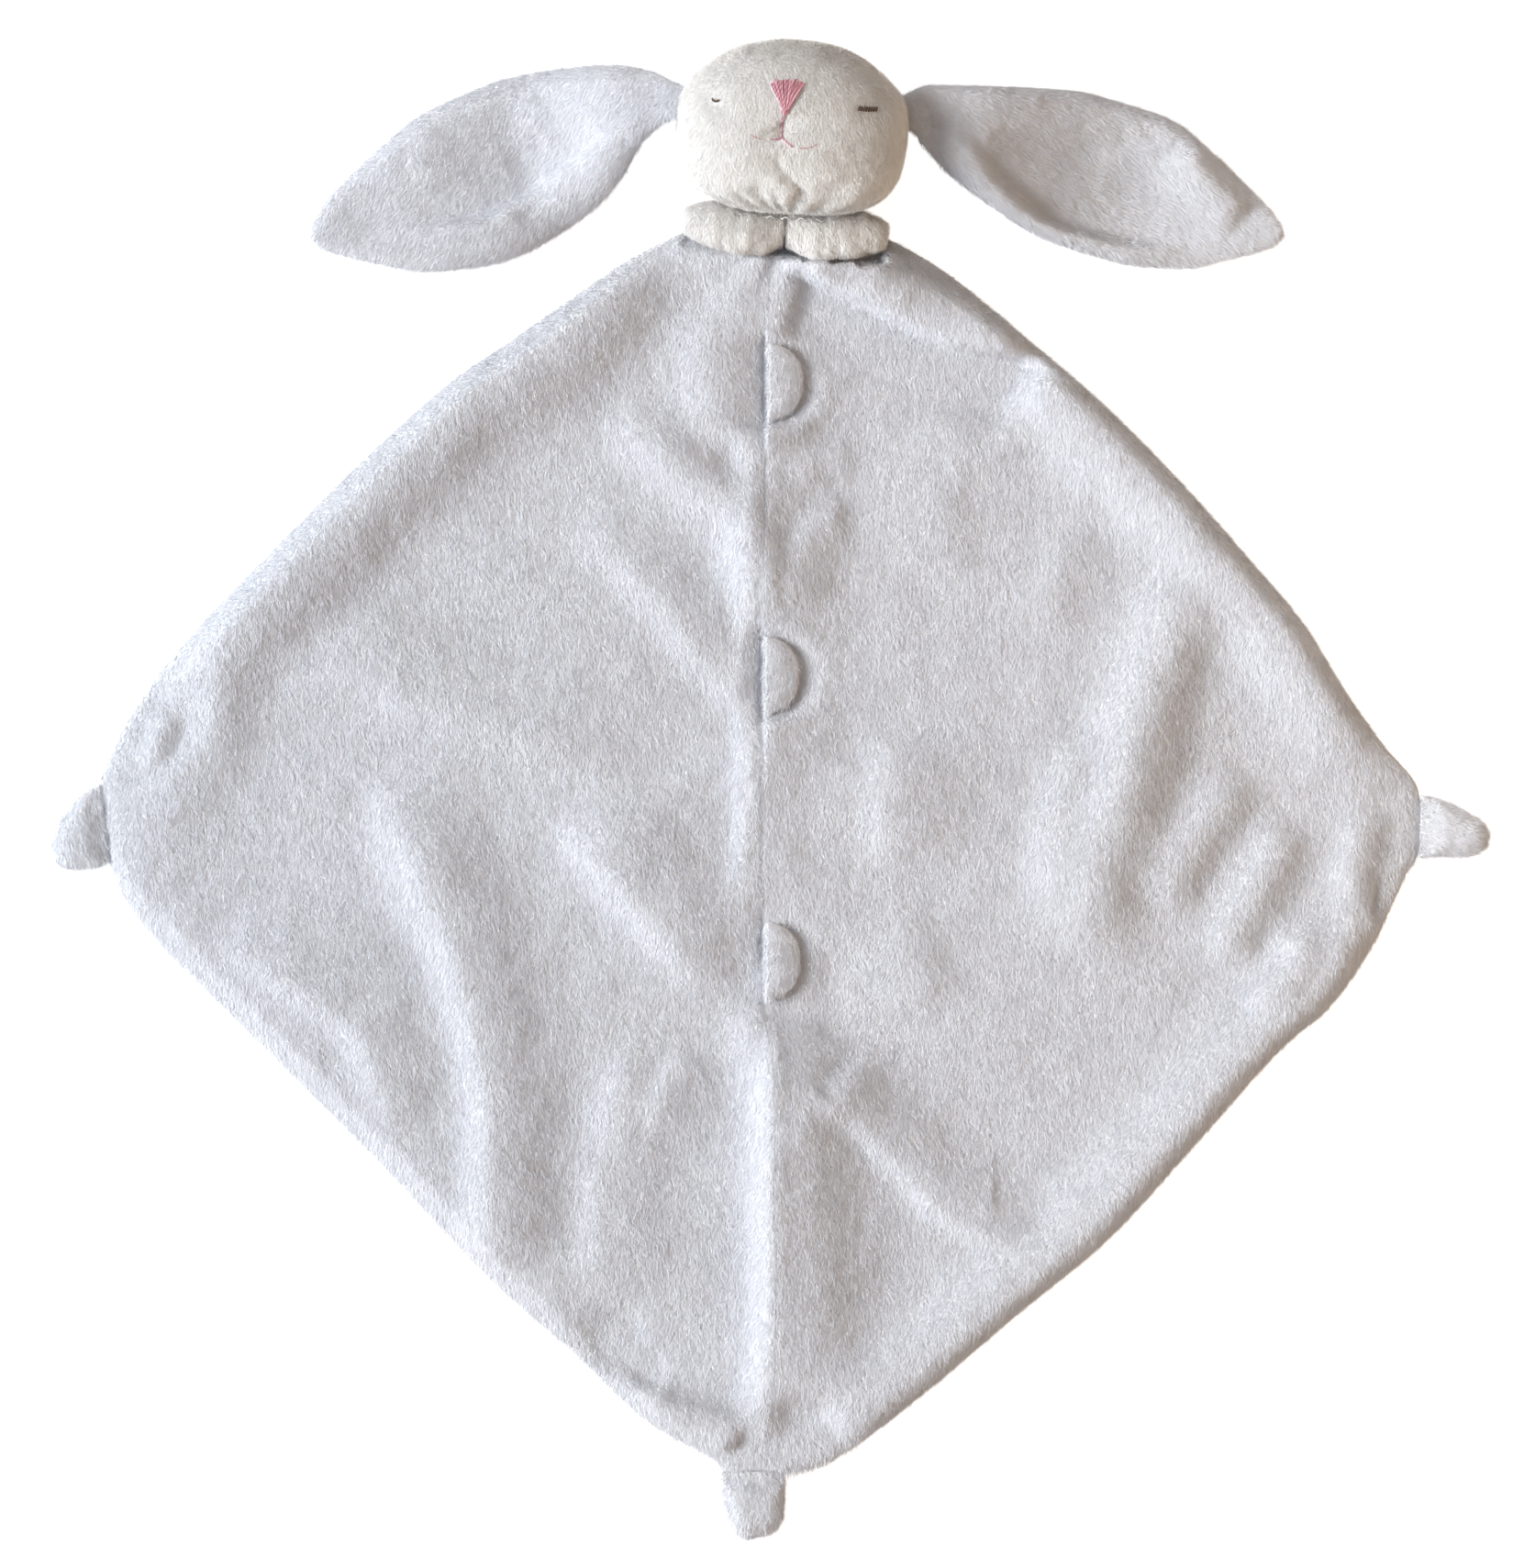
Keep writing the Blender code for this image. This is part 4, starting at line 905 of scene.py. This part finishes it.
def tab_place(tab):
    """The tab's seam along X, its middle along Y and its underside."""
    low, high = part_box(tab + "_outer")
    return low.x / MM, (low.y + high.y) / 2 / MM, low.z / MM


def tab_clearing(x, y):
    """0 under a tab and 1 away from it, and the most that the cloth rises where flaps turn over onto it."""
    clear = np.ones(x.shape)
    most = 1 + CORNER_RISE * np.clip(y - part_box("paw_bottom_front")[1].y / MM, 0, None)
    for beyond in (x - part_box("paw_left_front")[1].x / MM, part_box("paw_right_front")[0].x / MM - x):
        beyond = np.clip(beyond, 0, None)
        past_paw = np.clip(beyond - PAW_REACH, 0, None)
        most = np.minimum(most, LEAST_RISE + SIDE_RISE * beyond + past_paw)
    for tab in TABS:
        seam, middle, _ = tab_place(tab)
        across, along = TAB_ROOM
        away = np.hypot((x - seam) / across, (y - middle) / along)
        clear = np.minimum(clear, np.where(x > seam - 2, smoothstep((away - 0.75) / 0.35), 1))
        beyond = np.clip(np.abs(y - middle) - TAB_HALF_LENGTH - 1, 0, None)
        slope = LEAST_RISE + TAB_RISE * (seam - x) + TAB_END_RISE * beyond
        most = np.minimum(most, np.where(x < seam, slope, NO_LIMIT))
    return clear, most


def neck_gathers(x, y):
    """Pleats that run out from the neck, and the swell that they stand on."""
    away = np.hypot((x - NECK.x) / GATHER_REACH[0], np.clip(NECK.y - y, 0, None) / GATHER_REACH[1])
    turn = np.arctan2(x - NECK.x - 1.0, NECK.y + 4 - y)
    return (GATHER_SWELL + GATHER_HEIGHT * np.cos(GATHERS * turn + 0.6)) * np.exp(-(away**2))


def front_cloth(name, side):
    """Half of the front cloth, from the seam to the rim, as it lies in its folds."""
    rim = rim_line(side)
    top_y, low_y = rim[0, 1], rim[-1, 1]
    neck_y = NECK.y - NECK_LINE_DROP + 1.0
    seam_y = curve_through([(low_y - 1, low_y - 1), (140, 140), (top_y, neck_y)], rim[:, 1])
    seam_x = curve_through(SEAM[::-1], seam_y) + side * SEAM_GAP
    x, y = grid_between(np.stack([seam_x, seam_y], 1), rim, crowded(PANEL_COLUMNS, FRONT_CROWDING))
    lift = FOLD_TOP * np.tanh(FOLD_SCALE * fold_height(x, y, FOLDS) / FOLD_TOP)
    lift += ripples(x, y, CLOTH_RIPPLES)
    lift += neck_gathers(x, y)
    clear, most = tab_clearing(x, y)
    height = REST_HEIGHT + np.where(lift > 0, most * np.tanh(lift / most), HOLLOW_SHARE * lift) * clear
    height = np.maximum(height, REST_HEIGHT - HOLLOW_DEPTH)
    height = RIM_HEIGHT + (height - RIM_HEIGHT) * rounding(nearest_on(x, y, rim[::2])[0], RIM_ROLL)
    beside_seam = np.abs(x - curve_through(SEAM[::-1], y))
    height -= SEAM_DIP * np.exp(-((beside_seam / SEAM_WIDTH) ** 2))
    height = np.minimum(height, collar_height(x, y))
    under = np.maximum(height - BACKING, BACK_TOP + 0.15)
    piece = shell("cloth_" + name[8:], x, y, np.maximum(height, under + 0.1), under, pile_bottom=0.0)
    finish_cloth(piece, "blanket", name)
    return piece


def back_cloth():
    """Back cloth, one flat piece with a rounded rim."""
    left, right = rim_line(-1), rim_line(1)
    share = crowded(PANEL_COLUMNS, BACK_CROWDING)
    x, y = grid_between(left, right, share)
    # A tongue of the cloth runs in under the neck
    y = y + TONGUE * (1 - (2 * share - 1) ** 4) * np.exp(-(np.arange(PANEL_ROWS)[:, None] / 4.0))
    from_rim = np.minimum(nearest_on(x, y, left[::2])[0], nearest_on(x, y, right[::2])[0])
    middle = (TABLE_GAP + BACK_TOP) / 2
    half = BACK_EDGE + (BACK_TOP - TABLE_GAP - 2 * BACK_EDGE) / 2 * rounding(from_rim, BACK_ROLL)
    rim_pile = np.clip(1 - from_rim / 6, 0, 1)
    # The pile is pressed flat underneath
    piece = shell(
        "blanket_back_cloth", x, y, middle + half, middle - half,
        pile_top=rim_pile, pile_bottom=np.maximum(0.45 * rim_pile, 0.15),
    )
    finish_cloth(piece, "blanket", "blanket_back")
    return piece


# Ears, paws and tabs


def flap(body, shape, grid, half, middle_height, root_half=0.7, low=TABLE_GAP + 1.2, edge=None):
    """Two cloths sewn along their edges and turned, as one closed piece from its root line to its tip."""
    rows, columns = grid
    upper, lower = smooth_line(shape["upper"], rows), smooth_line(shape["lower"], rows)
    x, y = grid_between(lower, upper, crowded(columns, 1.0))
    from_edge = nearest_on(x, y, np.concatenate([upper, lower[::-1]]))[0]
    from_root = nearest_on(x, y, np.stack([upper[0], lower[0]]))[0]
    thick = half * rounding(from_edge, edge or 2.2 * half)
    thick = np.minimum(thick, root_half + (half - root_half) * smoothstep(from_root / 9)) + 0.1
    middle = np.maximum(middle_height(x, y, from_root, from_edge), low + thick)
    return shell(body + "_cover", x, y, middle + thick, middle - thick)


def finish_flap(piece, body, grid, pressure, most, layers):
    """Puffs a flap up between its seams, and puts it in place of its two CAD layers."""
    seam = np.zeros((2, *grid), bool)
    seam[:, [0, -1], :] = True
    seam[:, :, [0, -1]] = True
    puff(piece, seam.reshape(-1), pressure, most)
    finish_cloth(piece, body, *[f"{body}_{layer}" for layer in layers])
    return piece


def ear(body):
    """Ear, its root gathered on the head and its cup open to the front."""
    shape = EARS[body]

    def middle_height(x, y, from_root, from_edge):
        fall = smoothstep(from_root / shape["drop"])
        lift = fold_height(x, y, shape["folds"])
        lift += ripples(x, y, EAR_RIPPLES)
        grown = 0.25 + 0.75 * rounding(from_edge, 7.0)
        return EAR_LOW + (EAR_HINGE_HEIGHT - EAR_LOW) * (1 - fall) + lift * grown * smoothstep(from_root / 14)

    piece = flap(body, shape, EAR_GRID, EAR_HALF, middle_height)
    return finish_flap(piece, body, EAR_GRID, 2.0, 0.8, ("front", "back"))


def paw(body):
    """Small stuffed paw at a corner of the blanket."""

    def middle_height(x, y, from_root, from_edge):
        return PAW_MIDDLE + (0.9 * smoothstep(from_edge / 8) + ripples(x, y, PAW_RIPPLES))

    piece = flap(body, PAWS[body], PAW_GRID, PAW_HALF, middle_height)
    return finish_flap(piece, body, PAW_GRID, 2.5, 0.8, ("front", "back"))


def tab(body):
    """Half-moon, its straight side on the seam."""
    seam, middle_y, underside = tab_place(body)
    angles = np.linspace(0, math.pi / 2, TAB_GRID[0])
    across, along = TAB_REACH * np.sin(angles), TAB_HALF_LENGTH * np.cos(angles) ** 0.8
    upper = np.stack([seam + 0.4 + across, middle_y + along], 1)
    lower = upper * (1, -1) + (0, 2 * middle_y)
    base = underside - TAB_SINK

    def middle_height(x, y, from_root, from_edge):
        return base - TAB_DROOP * np.clip(x - seam, 0, None) + ripples(x, y, TAB_RIPPLES)

    # Rows run from the arc's far point to its two ends, so the root is the last row
    shape = {"upper": upper[::-1], "lower": lower[::-1]}
    piece = flap(body, shape, TAB_GRID, TAB_HALF, middle_height, root_half=1.2, low=TAB_FLOOR, edge=8.0)
    return finish_flap(piece, body, TAB_GRID, 2.5, 0.5, ("outer", "inner"))


# Head


def head_frame():
    """Matrix from the head's own axes, in metres, to the frame."""
    turn = Matrix.Rotation(HEAD_TURN, 4, "Z")
    middle = Vector((NECK.x, NECK.y, 0)) + turn.to_3x3() @ Vector((0, HEAD_REACH, 0))
    return Matrix.Translation(Vector((middle.x, middle.y, HEAD_MIDDLE)) * MM) @ turn


def head_blank():
    """Head before it is stuffed, as points in its own axes in millimetres, and as a piece in the frame."""
    work = bmesh.new()
    bmesh.ops.create_icosphere(work, subdivisions=5, radius=1.0)
    mesh = bpy.data.meshes.new("head_cover")
    work.to_mesh(mesh)
    work.free()
    piece = linked("head_cover", mesh)
    way = points_of(piece)
    way /= np.linalg.norm(way, axis=1, keepdims=True)
    chin = np.clip(0.5 - way[:, 1], 0, 1)
    exponent = (HEAD_TOP_EXPONENT + (HEAD_CHIN_EXPONENT - HEAD_TOP_EXPONENT) * chin)[:, None]
    halves = np.array(HEAD_HALVES) - HEAD_INSET
    local = way * (np.abs(way / halves) ** exponent).sum(1, keepdims=True) ** (-1 / exponent)
    matrix = np.array(head_frame())
    placed = (local * MM) @ matrix[:3, :3].T + matrix[:3, 3]
    placed[:, 2] = np.maximum(placed[:, 2], HEAD_FLOOR * MM)
    move_points(piece, placed)
    return piece, local, placed


def refine(piece):
    """Divides each face of a piece in four."""
    smoother = piece.modifiers.new("finer", "SUBSURF")
    smoother.levels = smoother.render_levels = 1
    graph = bpy.context.evaluated_depsgraph_get()
    finer = bpy.data.meshes.new_from_object(piece.evaluated_get(graph), depsgraph=graph)
    piece.modifiers.remove(smoother)
    piece.data = finer


def head_swell(points):
    """How far creases, seams and gathers raise the head's cover at its points, in millimetres."""
    places = points / MM
    front = smoothstep((places[:, 2] - 34) / 12)
    swell = fold_height(places[:, 0], places[:, 1], CREASES) * front
    swell += 0.55 * ripple_round(places, 17.0, 51.0) + 0.25 * ripple_round(places, 7.0, 52.0)
    # The side seam pulls the cover in
    away = np.abs(places[:, 2] - HEAD_MIDDLE)
    swell -= SIDE_SEAM_DEPTH * np.exp(-((away / 2.2) ** 2))
    # Gathers run into the neck
    whole = np.concatenate([points.T, np.ones((1, len(points)))])
    local = np.linalg.inv(np.array(head_frame())) @ whole
    round_neck = np.arctan2(local[2], local[0])
    to_neck = smoothstep((-local[1] / MM - 17) / 12)
    pleats = np.cos(CHIN_PLEATS * round_neck + 2.0 * np.sin(3 * round_neck))
    return swell - CHIN_PLEAT_DEPTH * to_neck * (0.5 + 0.5 * pleats)


def bare_round_threads(x, y, front):
    """Share of pile on the head at some places: none under the threads, and shorter round them."""
    threads = (STEM, MOUTH_LEFT, MOUTH_RIGHT, EYE_LEFT, EYE_RIGHT)
    lines = [(smooth_line(line, 20), 0.1, 1.1) for line in threads]
    for share in np.linspace(0, 1, 8):
        lines.append((np.array([nose_edge(-1, share), nose_edge(1, share)]), 0.3, 1.2))
    pile = np.ones(len(x))
    for line, bare, width in lines:
        grown = smoothstep((nearest_on(x, y, line)[0] - bare) / width)
        pile = np.minimum(pile, np.where(front, grown, 1))
    return pile


def head_cover():
    """Stuffed head: a face of two panels and a back panel, sewn round the side."""
    piece, local, placed = head_blank()
    # Seams: round the side of the head, and down the middle of the face
    side_seam = np.abs(local[:, 2]) < 0.9
    face_seam = (np.abs(local[:, 0] + 2.6) < 0.9) & (local[:, 2] > 0)
    flat = placed[:, 2] < (HEAD_FLOOR + 0.2) * MM
    puff(piece, side_seam | face_seam | flat, 3.5, 1.3, frames=18)
    refine(piece)
    points = points_of(piece)
    normals = np.zeros(len(points) * 3)
    piece.data.vertex_normals.foreach_get("vector", normals)
    x, y = points[:, 0] / MM, points[:, 1] / MM
    points = points + normals.reshape(-1, 3) * (head_swell(points) * MM)[:, None]
    points[:, 2] = np.maximum(points[:, 2], HEAD_FLOOR * MM)
    move_points(piece, points)
    set_pile(piece, bare_round_threads(x, y, points[:, 2] > 0.03))
    piece.data.shade_smooth()
    finish_cloth(piece, "head", "face_left", "face_right", "head_back", "head_filling")
    return piece


def boxy(wave):
    """A sine wave with flatter crests, which gives a round section fuller shoulders."""
    return np.sign(wave) * np.abs(wave) ** 0.88


def collar(side):
    """Roll of gathered cloth beside the pinch in the middle of the neck."""
    along = np.linspace(0, 1, ROLL_STEPS)
    full = np.sin(math.pi * np.clip(along * 0.86 + 0.035, 0, 1)) ** 0.36
    tucked = np.maximum(full, 0.97 * smoothstep(along * 4))
    full *= 1 - 0.12 * smoothstep((along - 0.7) / 0.3)
    around = np.linspace(0, 2 * math.pi, ROLL_RING, endpoint=False)
    place = (1 - along) * ROLL_ENDS[1] + along * ROLL_ENDS[0]
    sag = 1.4 - 2.2 * smoothstep(along / 0.8) + 0.9 * smoothstep((along - 0.8) / 0.2)
    grid_along, grid_around = np.meshgrid(place, around, indexing="ij")
    gathers = 0.4 * np.cos(grid_along * 0.55 + 1.8 * np.cos(grid_around) + side)
    gathers += 0.2 * np.cos(grid_along * 1.1 - 1.1 * np.sin(grid_around) + 2 * side)
    gathers += 0.5 * ripple(grid_along, 8 * grid_around, 6.0, 61.0 + side)
    gathers *= 0.6 * np.sin(math.pi * along)[:, None] ** 0.5
    towards_head = smoothstep(0.5 + 0.9 * np.cos(grid_around))
    wide = full[:, None] + (tucked - full)[:, None] * towards_head
    radius_down = wide * (ROLL_RADIUS[0] - 0.5) + gathers
    radius_up = full[:, None] * ROLL_RADIUS[1] + gathers
    local = np.stack([
        side * grid_along, sag[:, None] + radius_down * boxy(np.cos(grid_around)),
        ROLL_RISE + radius_up * boxy(np.sin(grid_around)),
    ], -1)
    points = local @ np.array(Matrix.Rotation(HEAD_TURN, 3, "Z")).T + np.array(NECK)
    vertices = np.concatenate([points.reshape(-1, 3), [points[0].mean(0), points[-1].mean(0)]])
    count = ROLL_RING * ROLL_STEPS
    index = np.arange(count).reshape(ROLL_STEPS, ROLL_RING)
    after = np.roll(index, -1, 1)
    faces = np.stack([index[:-1], index[1:], after[1:], after[:-1]], -1).reshape(-1, 4).tolist()
    faces += [[count, int(first), int(second)] for first, second in zip(index[0], after[0])]
    faces += [[count + 1, int(second), int(first)] for first, second in zip(index[-1], after[-1])]
    name = "collar_left" if side < 0 else "collar_right"
    piece = closed_piece(name + "_cover", vertices, faces)
    held = np.zeros(len(vertices), bool)
    held[index[-6:].ravel()] = True
    held[index[:2].ravel()] = True
    held[-2:] = True
    puff(piece, held, 2.5, 0.7)
    set_pile(piece, np.ones(len(vertices)))
    finish_cloth(piece, "head", name)
    return piece


# Threads


def on_head(line, lift, count, thick=None):
    """Line of points that lies on the face, lift millimetres over its cover, each with its thickness."""
    points = smooth_line(line, count) * MM
    thick = np.ones(count) if thick is None else thick
    laid = []
    for (x, y), share, size in zip(points, np.linspace(0, 1, count), thick):
        hit = COVER.ray_cast(Vector((x, y, 0.2)), Vector((0, 0, -1)))
        rise = lift(share) if callable(lift) else lift
        laid.append((x, y, hit[0].z + rise * MM, size))
    return laid


def nose_edge(side, share):
    """Place on the nose's edge, from its top at 0 to its point at 1."""
    x = NOSE_TOP[0] + (NOSE_POINT[0] - NOSE_TOP[0]) * share
    bow = NOSE_BOW * math.sin(math.pi * share) * (1 - share) ** 0.2
    half = NOSE_HALF_WIDTH * (1 - share) ** 0.95 + bow + 0.5 * share
    y = NOSE_TOP[1] + (NOSE_POINT[1] - NOSE_TOP[1]) * share - 0.9 * (1 - share)
    return x + side * half, y


def nose():
    """Satin stitch: a fan of threads side by side from the top edge to the point, over a padding row."""
    fan = []
    rng = np.random.default_rng(5)
    for layer, (count, lift) in enumerate(((NOSE_THREADS - 1, 0.35), (NOSE_THREADS, 0.75))):
        for number in range(count):
            uneven = rng.normal(0, 0.35)
            place = -1 + 2 * (number + 0.5 * (layer == 0)) / (NOSE_THREADS - 1)
            line = []
            for share in np.linspace(0, 1, NOSE_STEPS):
                left, right = nose_edge(-1, share), nose_edge(1, share)
                x = (left[0] + right[0]) / 2 + (right[0] - left[0]) / 2 * place
                bow = 1.1 * (1 - place**2) * (1 - share)
                line.append((x + rng.normal(0, 0.03), left[1] + bow + uneven * (1 - share) ** 3))
            thick = 0.45 + 0.55 * (1 - np.linspace(0, 1, NOSE_STEPS)) ** 0.6
            rise = lift + rng.normal(0, 0.14)
            fan.append(on_head(
                line, lambda share, rise=rise: rise + 0.45 * math.sin(math.pi * share), NOSE_STEPS, thick))
    # Three short stitches tie the point down
    tip_x, tip_y = NOSE_POINT
    for drop in (0.6, 0.0, -0.5):
        y = tip_y + drop
        tie = [(tip_x - 1.3, y + 0.3), (tip_x, y - 0.2), (tip_x + 1.2, y + 0.3)]
        fan.append(on_head(tie, lambda share: 0.5 + 0.7 * math.sin(math.pi * share), 7, np.full(7, 0.8)))
    return fan


def stitched(line, count, width, lift):
    """Row of short stitches along a line, each slightly slanted."""
    middle = smooth_line(line, count)
    run = headings(middle)
    across = np.stack([-run[:, 1], run[:, 0]], 1) * width / 2 + run * 0.18

    def rise(share):
        return lift * (0.4 + 0.9 * math.sin(math.pi * share))

    return [on_head([place - way, place, place + way], rise, 6) for place, way in zip(middle, across)]


def strand(line, lift=0.45, radius_share=1.0):
    """Two plies twisted about a line on the face."""
    points = np.array(on_head(line, lift, STRAND_STEPS * 3))
    turn = np.linspace(0, 2 * math.pi * STRAND_STEPS / 5, len(points))
    ply_ridges_and_painted_shade = []
    for start in (0, math.pi):
        ply = points.copy()
        ply[:, 1] += PLY_OFFSET * MM * np.cos(turn + start)
        ply[:, 0] += PLY_OFFSET * MM * np.cos(turn + start) * 0.4
        ply[:, 2] += PLY_OFFSET * MM * np.sin(turn + start)
        ply[:, 3] = radius_share
        ply_ridges_and_painted_shade.append(ply)
    return ply_ridges_and_painted_shade


def neck_gathering():
    """Gathering thread between the chin and the rolls, with a loose end over the pinch."""
    turn = np.array(Matrix.Rotation(HEAD_TURN, 3, "Z"))
    shares = np.linspace(0, 1, 8)
    stitches = []
    for number in range(9):
        start = -26 + number * 6.0
        local = np.stack([
            start + 4.2 * shares, 4.6 + 0.4 * np.sin(9 * shares + number),
            7.3 + 0.9 * np.sin(math.pi * shares),
        ], 1)
        stitches.append((local @ turn.T + np.array(NECK)) * MM)
    stitches.append(smooth_line(LOOSE_END, 16) * MM)
    return [[(*point, 1.0) for point in stitch] for stitch in stitches]


# Build

MATERIALS = {
    "backing": plush_backing(),
    "pile": plush_pile("short polyester plush, brushed flat", "E6E7EC", "F8F8FC"),
    "fleece": plush_pile("short polyester plush, stuffed", "F5F2EF", "FFFDFA"),
    # Each thread's darker colour is painted shade in the grooves between its plies, and its lighter colour is
    # a painted highlight on their crests
    "pink": thread_material("pink embroidery thread", "C47C8C", "F8D8DD", 0.5),
    "brown": thread_material("brown embroidery thread", "3A2417", "7C5838", 0.6),
    "white": thread_material("white sewing thread", "DCDBD8", "F5F4F1", 0.6),
}
TREES = {"pile": pile_tree(), "thread": thread_tree()}

back = back_cloth()
grow_pile(back, "blanket", (0.0, -1.0, 0.0), strips=3, Length=0.0018, Density=5.2e6)
for side, name in ((-1, "blanket_front_left"), (1, "blanket_front_right")):
    front = front_cloth(name, side)
    grow_pile(front, "blanket", (-0.1, -1.0, 0.0), strips=4)
for body in EARS:
    grow_pile(ear(body), body, EARS[body]["nap"])
for body in PAWS:
    grow_pile(paw(body), body, PAWS[body]["nap"])
for body in TABS:
    grow_pile(tab(body), body, (-0.3, -1.0, 0.25), Length=0.0026, Lean=0.8)
head = head_cover()
for side in (-1, 1):
    grow_pile(collar(side), "head", (0.2 * side, -1.0, 0.0), material="fleece", Density=1.0e7)
grow_pile(
    head, "head", (0.0, -1.0, 0.0), material="fleece",
    Density=1.1e7, Length=0.0026, Brushing=0.9, Width=0.0002,
)

COVER = BVHTree.FromObject(head, bpy.context.evaluated_depsgraph_get())
mouth = strand(MOUTH_LEFT) + strand(MOUTH_RIGHT)
for line in MOUTH_ENDS:
    mouth += strand(line, lift=0.9, radius_share=0.4)
thread_piece("nose_stitches", nose(), 0.25, "pink", "nose")
thread_piece("stem_stitches", strand(STEM), 0.22, "pink", "nose_stem")
thread_piece("mouth_stitches", mouth, 0.2, "pink", "mouth")
thread_piece("eye_left_stitches", strand(EYE_LEFT, lift=1.2), 0.26, "brown", "eye_left")
thread_piece("eye_right_stitches", stitched(EYE_RIGHT, 8, 1.5, 1.0), 0.32, "brown", "eye_right")
thread_piece("neck_gathering", neck_gathering(), 0.28, "white", "neck_thread")


# Floor, light and camera

material, tree, shader, place = new_material("pale matt board")
board = between_colours(tree, noise_node(tree, place, 400.0, 2.0)["Fac"], "F1F1F0", "F6F6F5")
set_shader(tree, shader, {"Base Color": board}, 0.9)
glow = add_node(tree, "ShaderNodeEmission", {"Strength": 0.85}).outputs[0]
lit = add_node(tree, "ShaderNodeAddShader", {0: shader.outputs[0], 1: glow}).outputs[0]
shown = add_node(tree, "ShaderNodeMixShader", {0: seen_directly(tree), 1: shader.outputs[0], 2: lit})
tree.links.new(shown.outputs[0], tree.nodes["Material Output"].inputs["Surface"])
mesh = bpy.data.meshes.new("floor")
mesh.from_pydata([(-3, -3, 0), (3, -3, 0), (3, 3, 0), (-3, 3, 0)], [], [(0, 1, 2, 3)])
mesh.materials.append(material)
linked("floor", mesh)


def add_lamp(name, kind, energy, colour, place, **settings):
    """Light that shines on the middle of the blanket from a place."""
    lamp = bpy.data.lights.new(name, kind)
    lamp.energy = energy
    lamp.color = colour
    for label, value in settings.items():
        setattr(lamp, label, value)
    lamp_object = linked(name, lamp)
    lamp_object.location = place
    lamp_object.rotation_euler = Vector(place).to_track_quat("Z", "Y").to_euler()


# Soft window light from the viewer's left. Cool daylight comes back from a screen beside it, and warm
# light from a wall on the right.
add_lamp("window", "SUN", 3.8, (1.0, 0.985, 0.96), (-0.845, 0.05, 0.53), angle=math.radians(26))
add_lamp("screen", "AREA", 2.7, (0.5, 0.75, 1.0), (-0.8, 0.05, 0.5), shape="SQUARE", size=0.7)
add_lamp("wall", "AREA", 1.3, (1.0, 0.74, 0.45), (0.75, 0.2, 0.4), shape="SQUARE", size=0.7)

# The room's light, from cool on the left to warm on the right, behind a white backdrop
world = bpy.data.worlds.new("room")
bpy.context.scene.world = world
world.use_nodes = True
tree = world.node_tree
tree.nodes.clear()
place = add_node(tree, "ShaderNodeTexCoord").outputs["Generated"]
share = maths(tree, "ADD", vector_maths(tree, "DOT_PRODUCT", place, (0.44, -0.2, 0.0)), 0.5)
room = add_node(tree, "ShaderNodeValToRGB", {0: share})
stops = room.color_ramp.elements
stops[0].color, stops[1].color = hex_colour("D5E3F3"), hex_colour("D2A266")
stops[1].position = 0.95
stops.new(0.47).color = hex_colour("C2C4C8")
fill = add_node(tree, "ShaderNodeBackground", {"Color": room.outputs[0], "Strength": 0.485}).outputs[0]
white = add_node(tree, "ShaderNodeBackground", {"Color": (1.0, 1.0, 1.0, 1.0), "Strength": 1.0}).outputs[0]
both = add_node(tree, "ShaderNodeMixShader", {0: seen_directly(tree), 1: fill, 2: white})
add_node(tree, "ShaderNodeOutputWorld", {"Surface": both.outputs[0]})

# The photograph looks straight down from far off, and shows PHOTO_HEIGHT from top to bottom
camera = bpy.data.cameras.new("camera")
camera.sensor_fit = "VERTICAL"
camera.sensor_height = 24.0
camera.lens = 24.0 * (CAMERA_HEIGHT - 0.006) / PHOTO_HEIGHT
camera_object = linked("camera", camera)
camera_object.location = (-0.0025, 0.0018, CAMERA_HEIGHT)
scene = bpy.context.scene
scene.camera = camera_object
scene.view_settings.view_transform = "Standard"
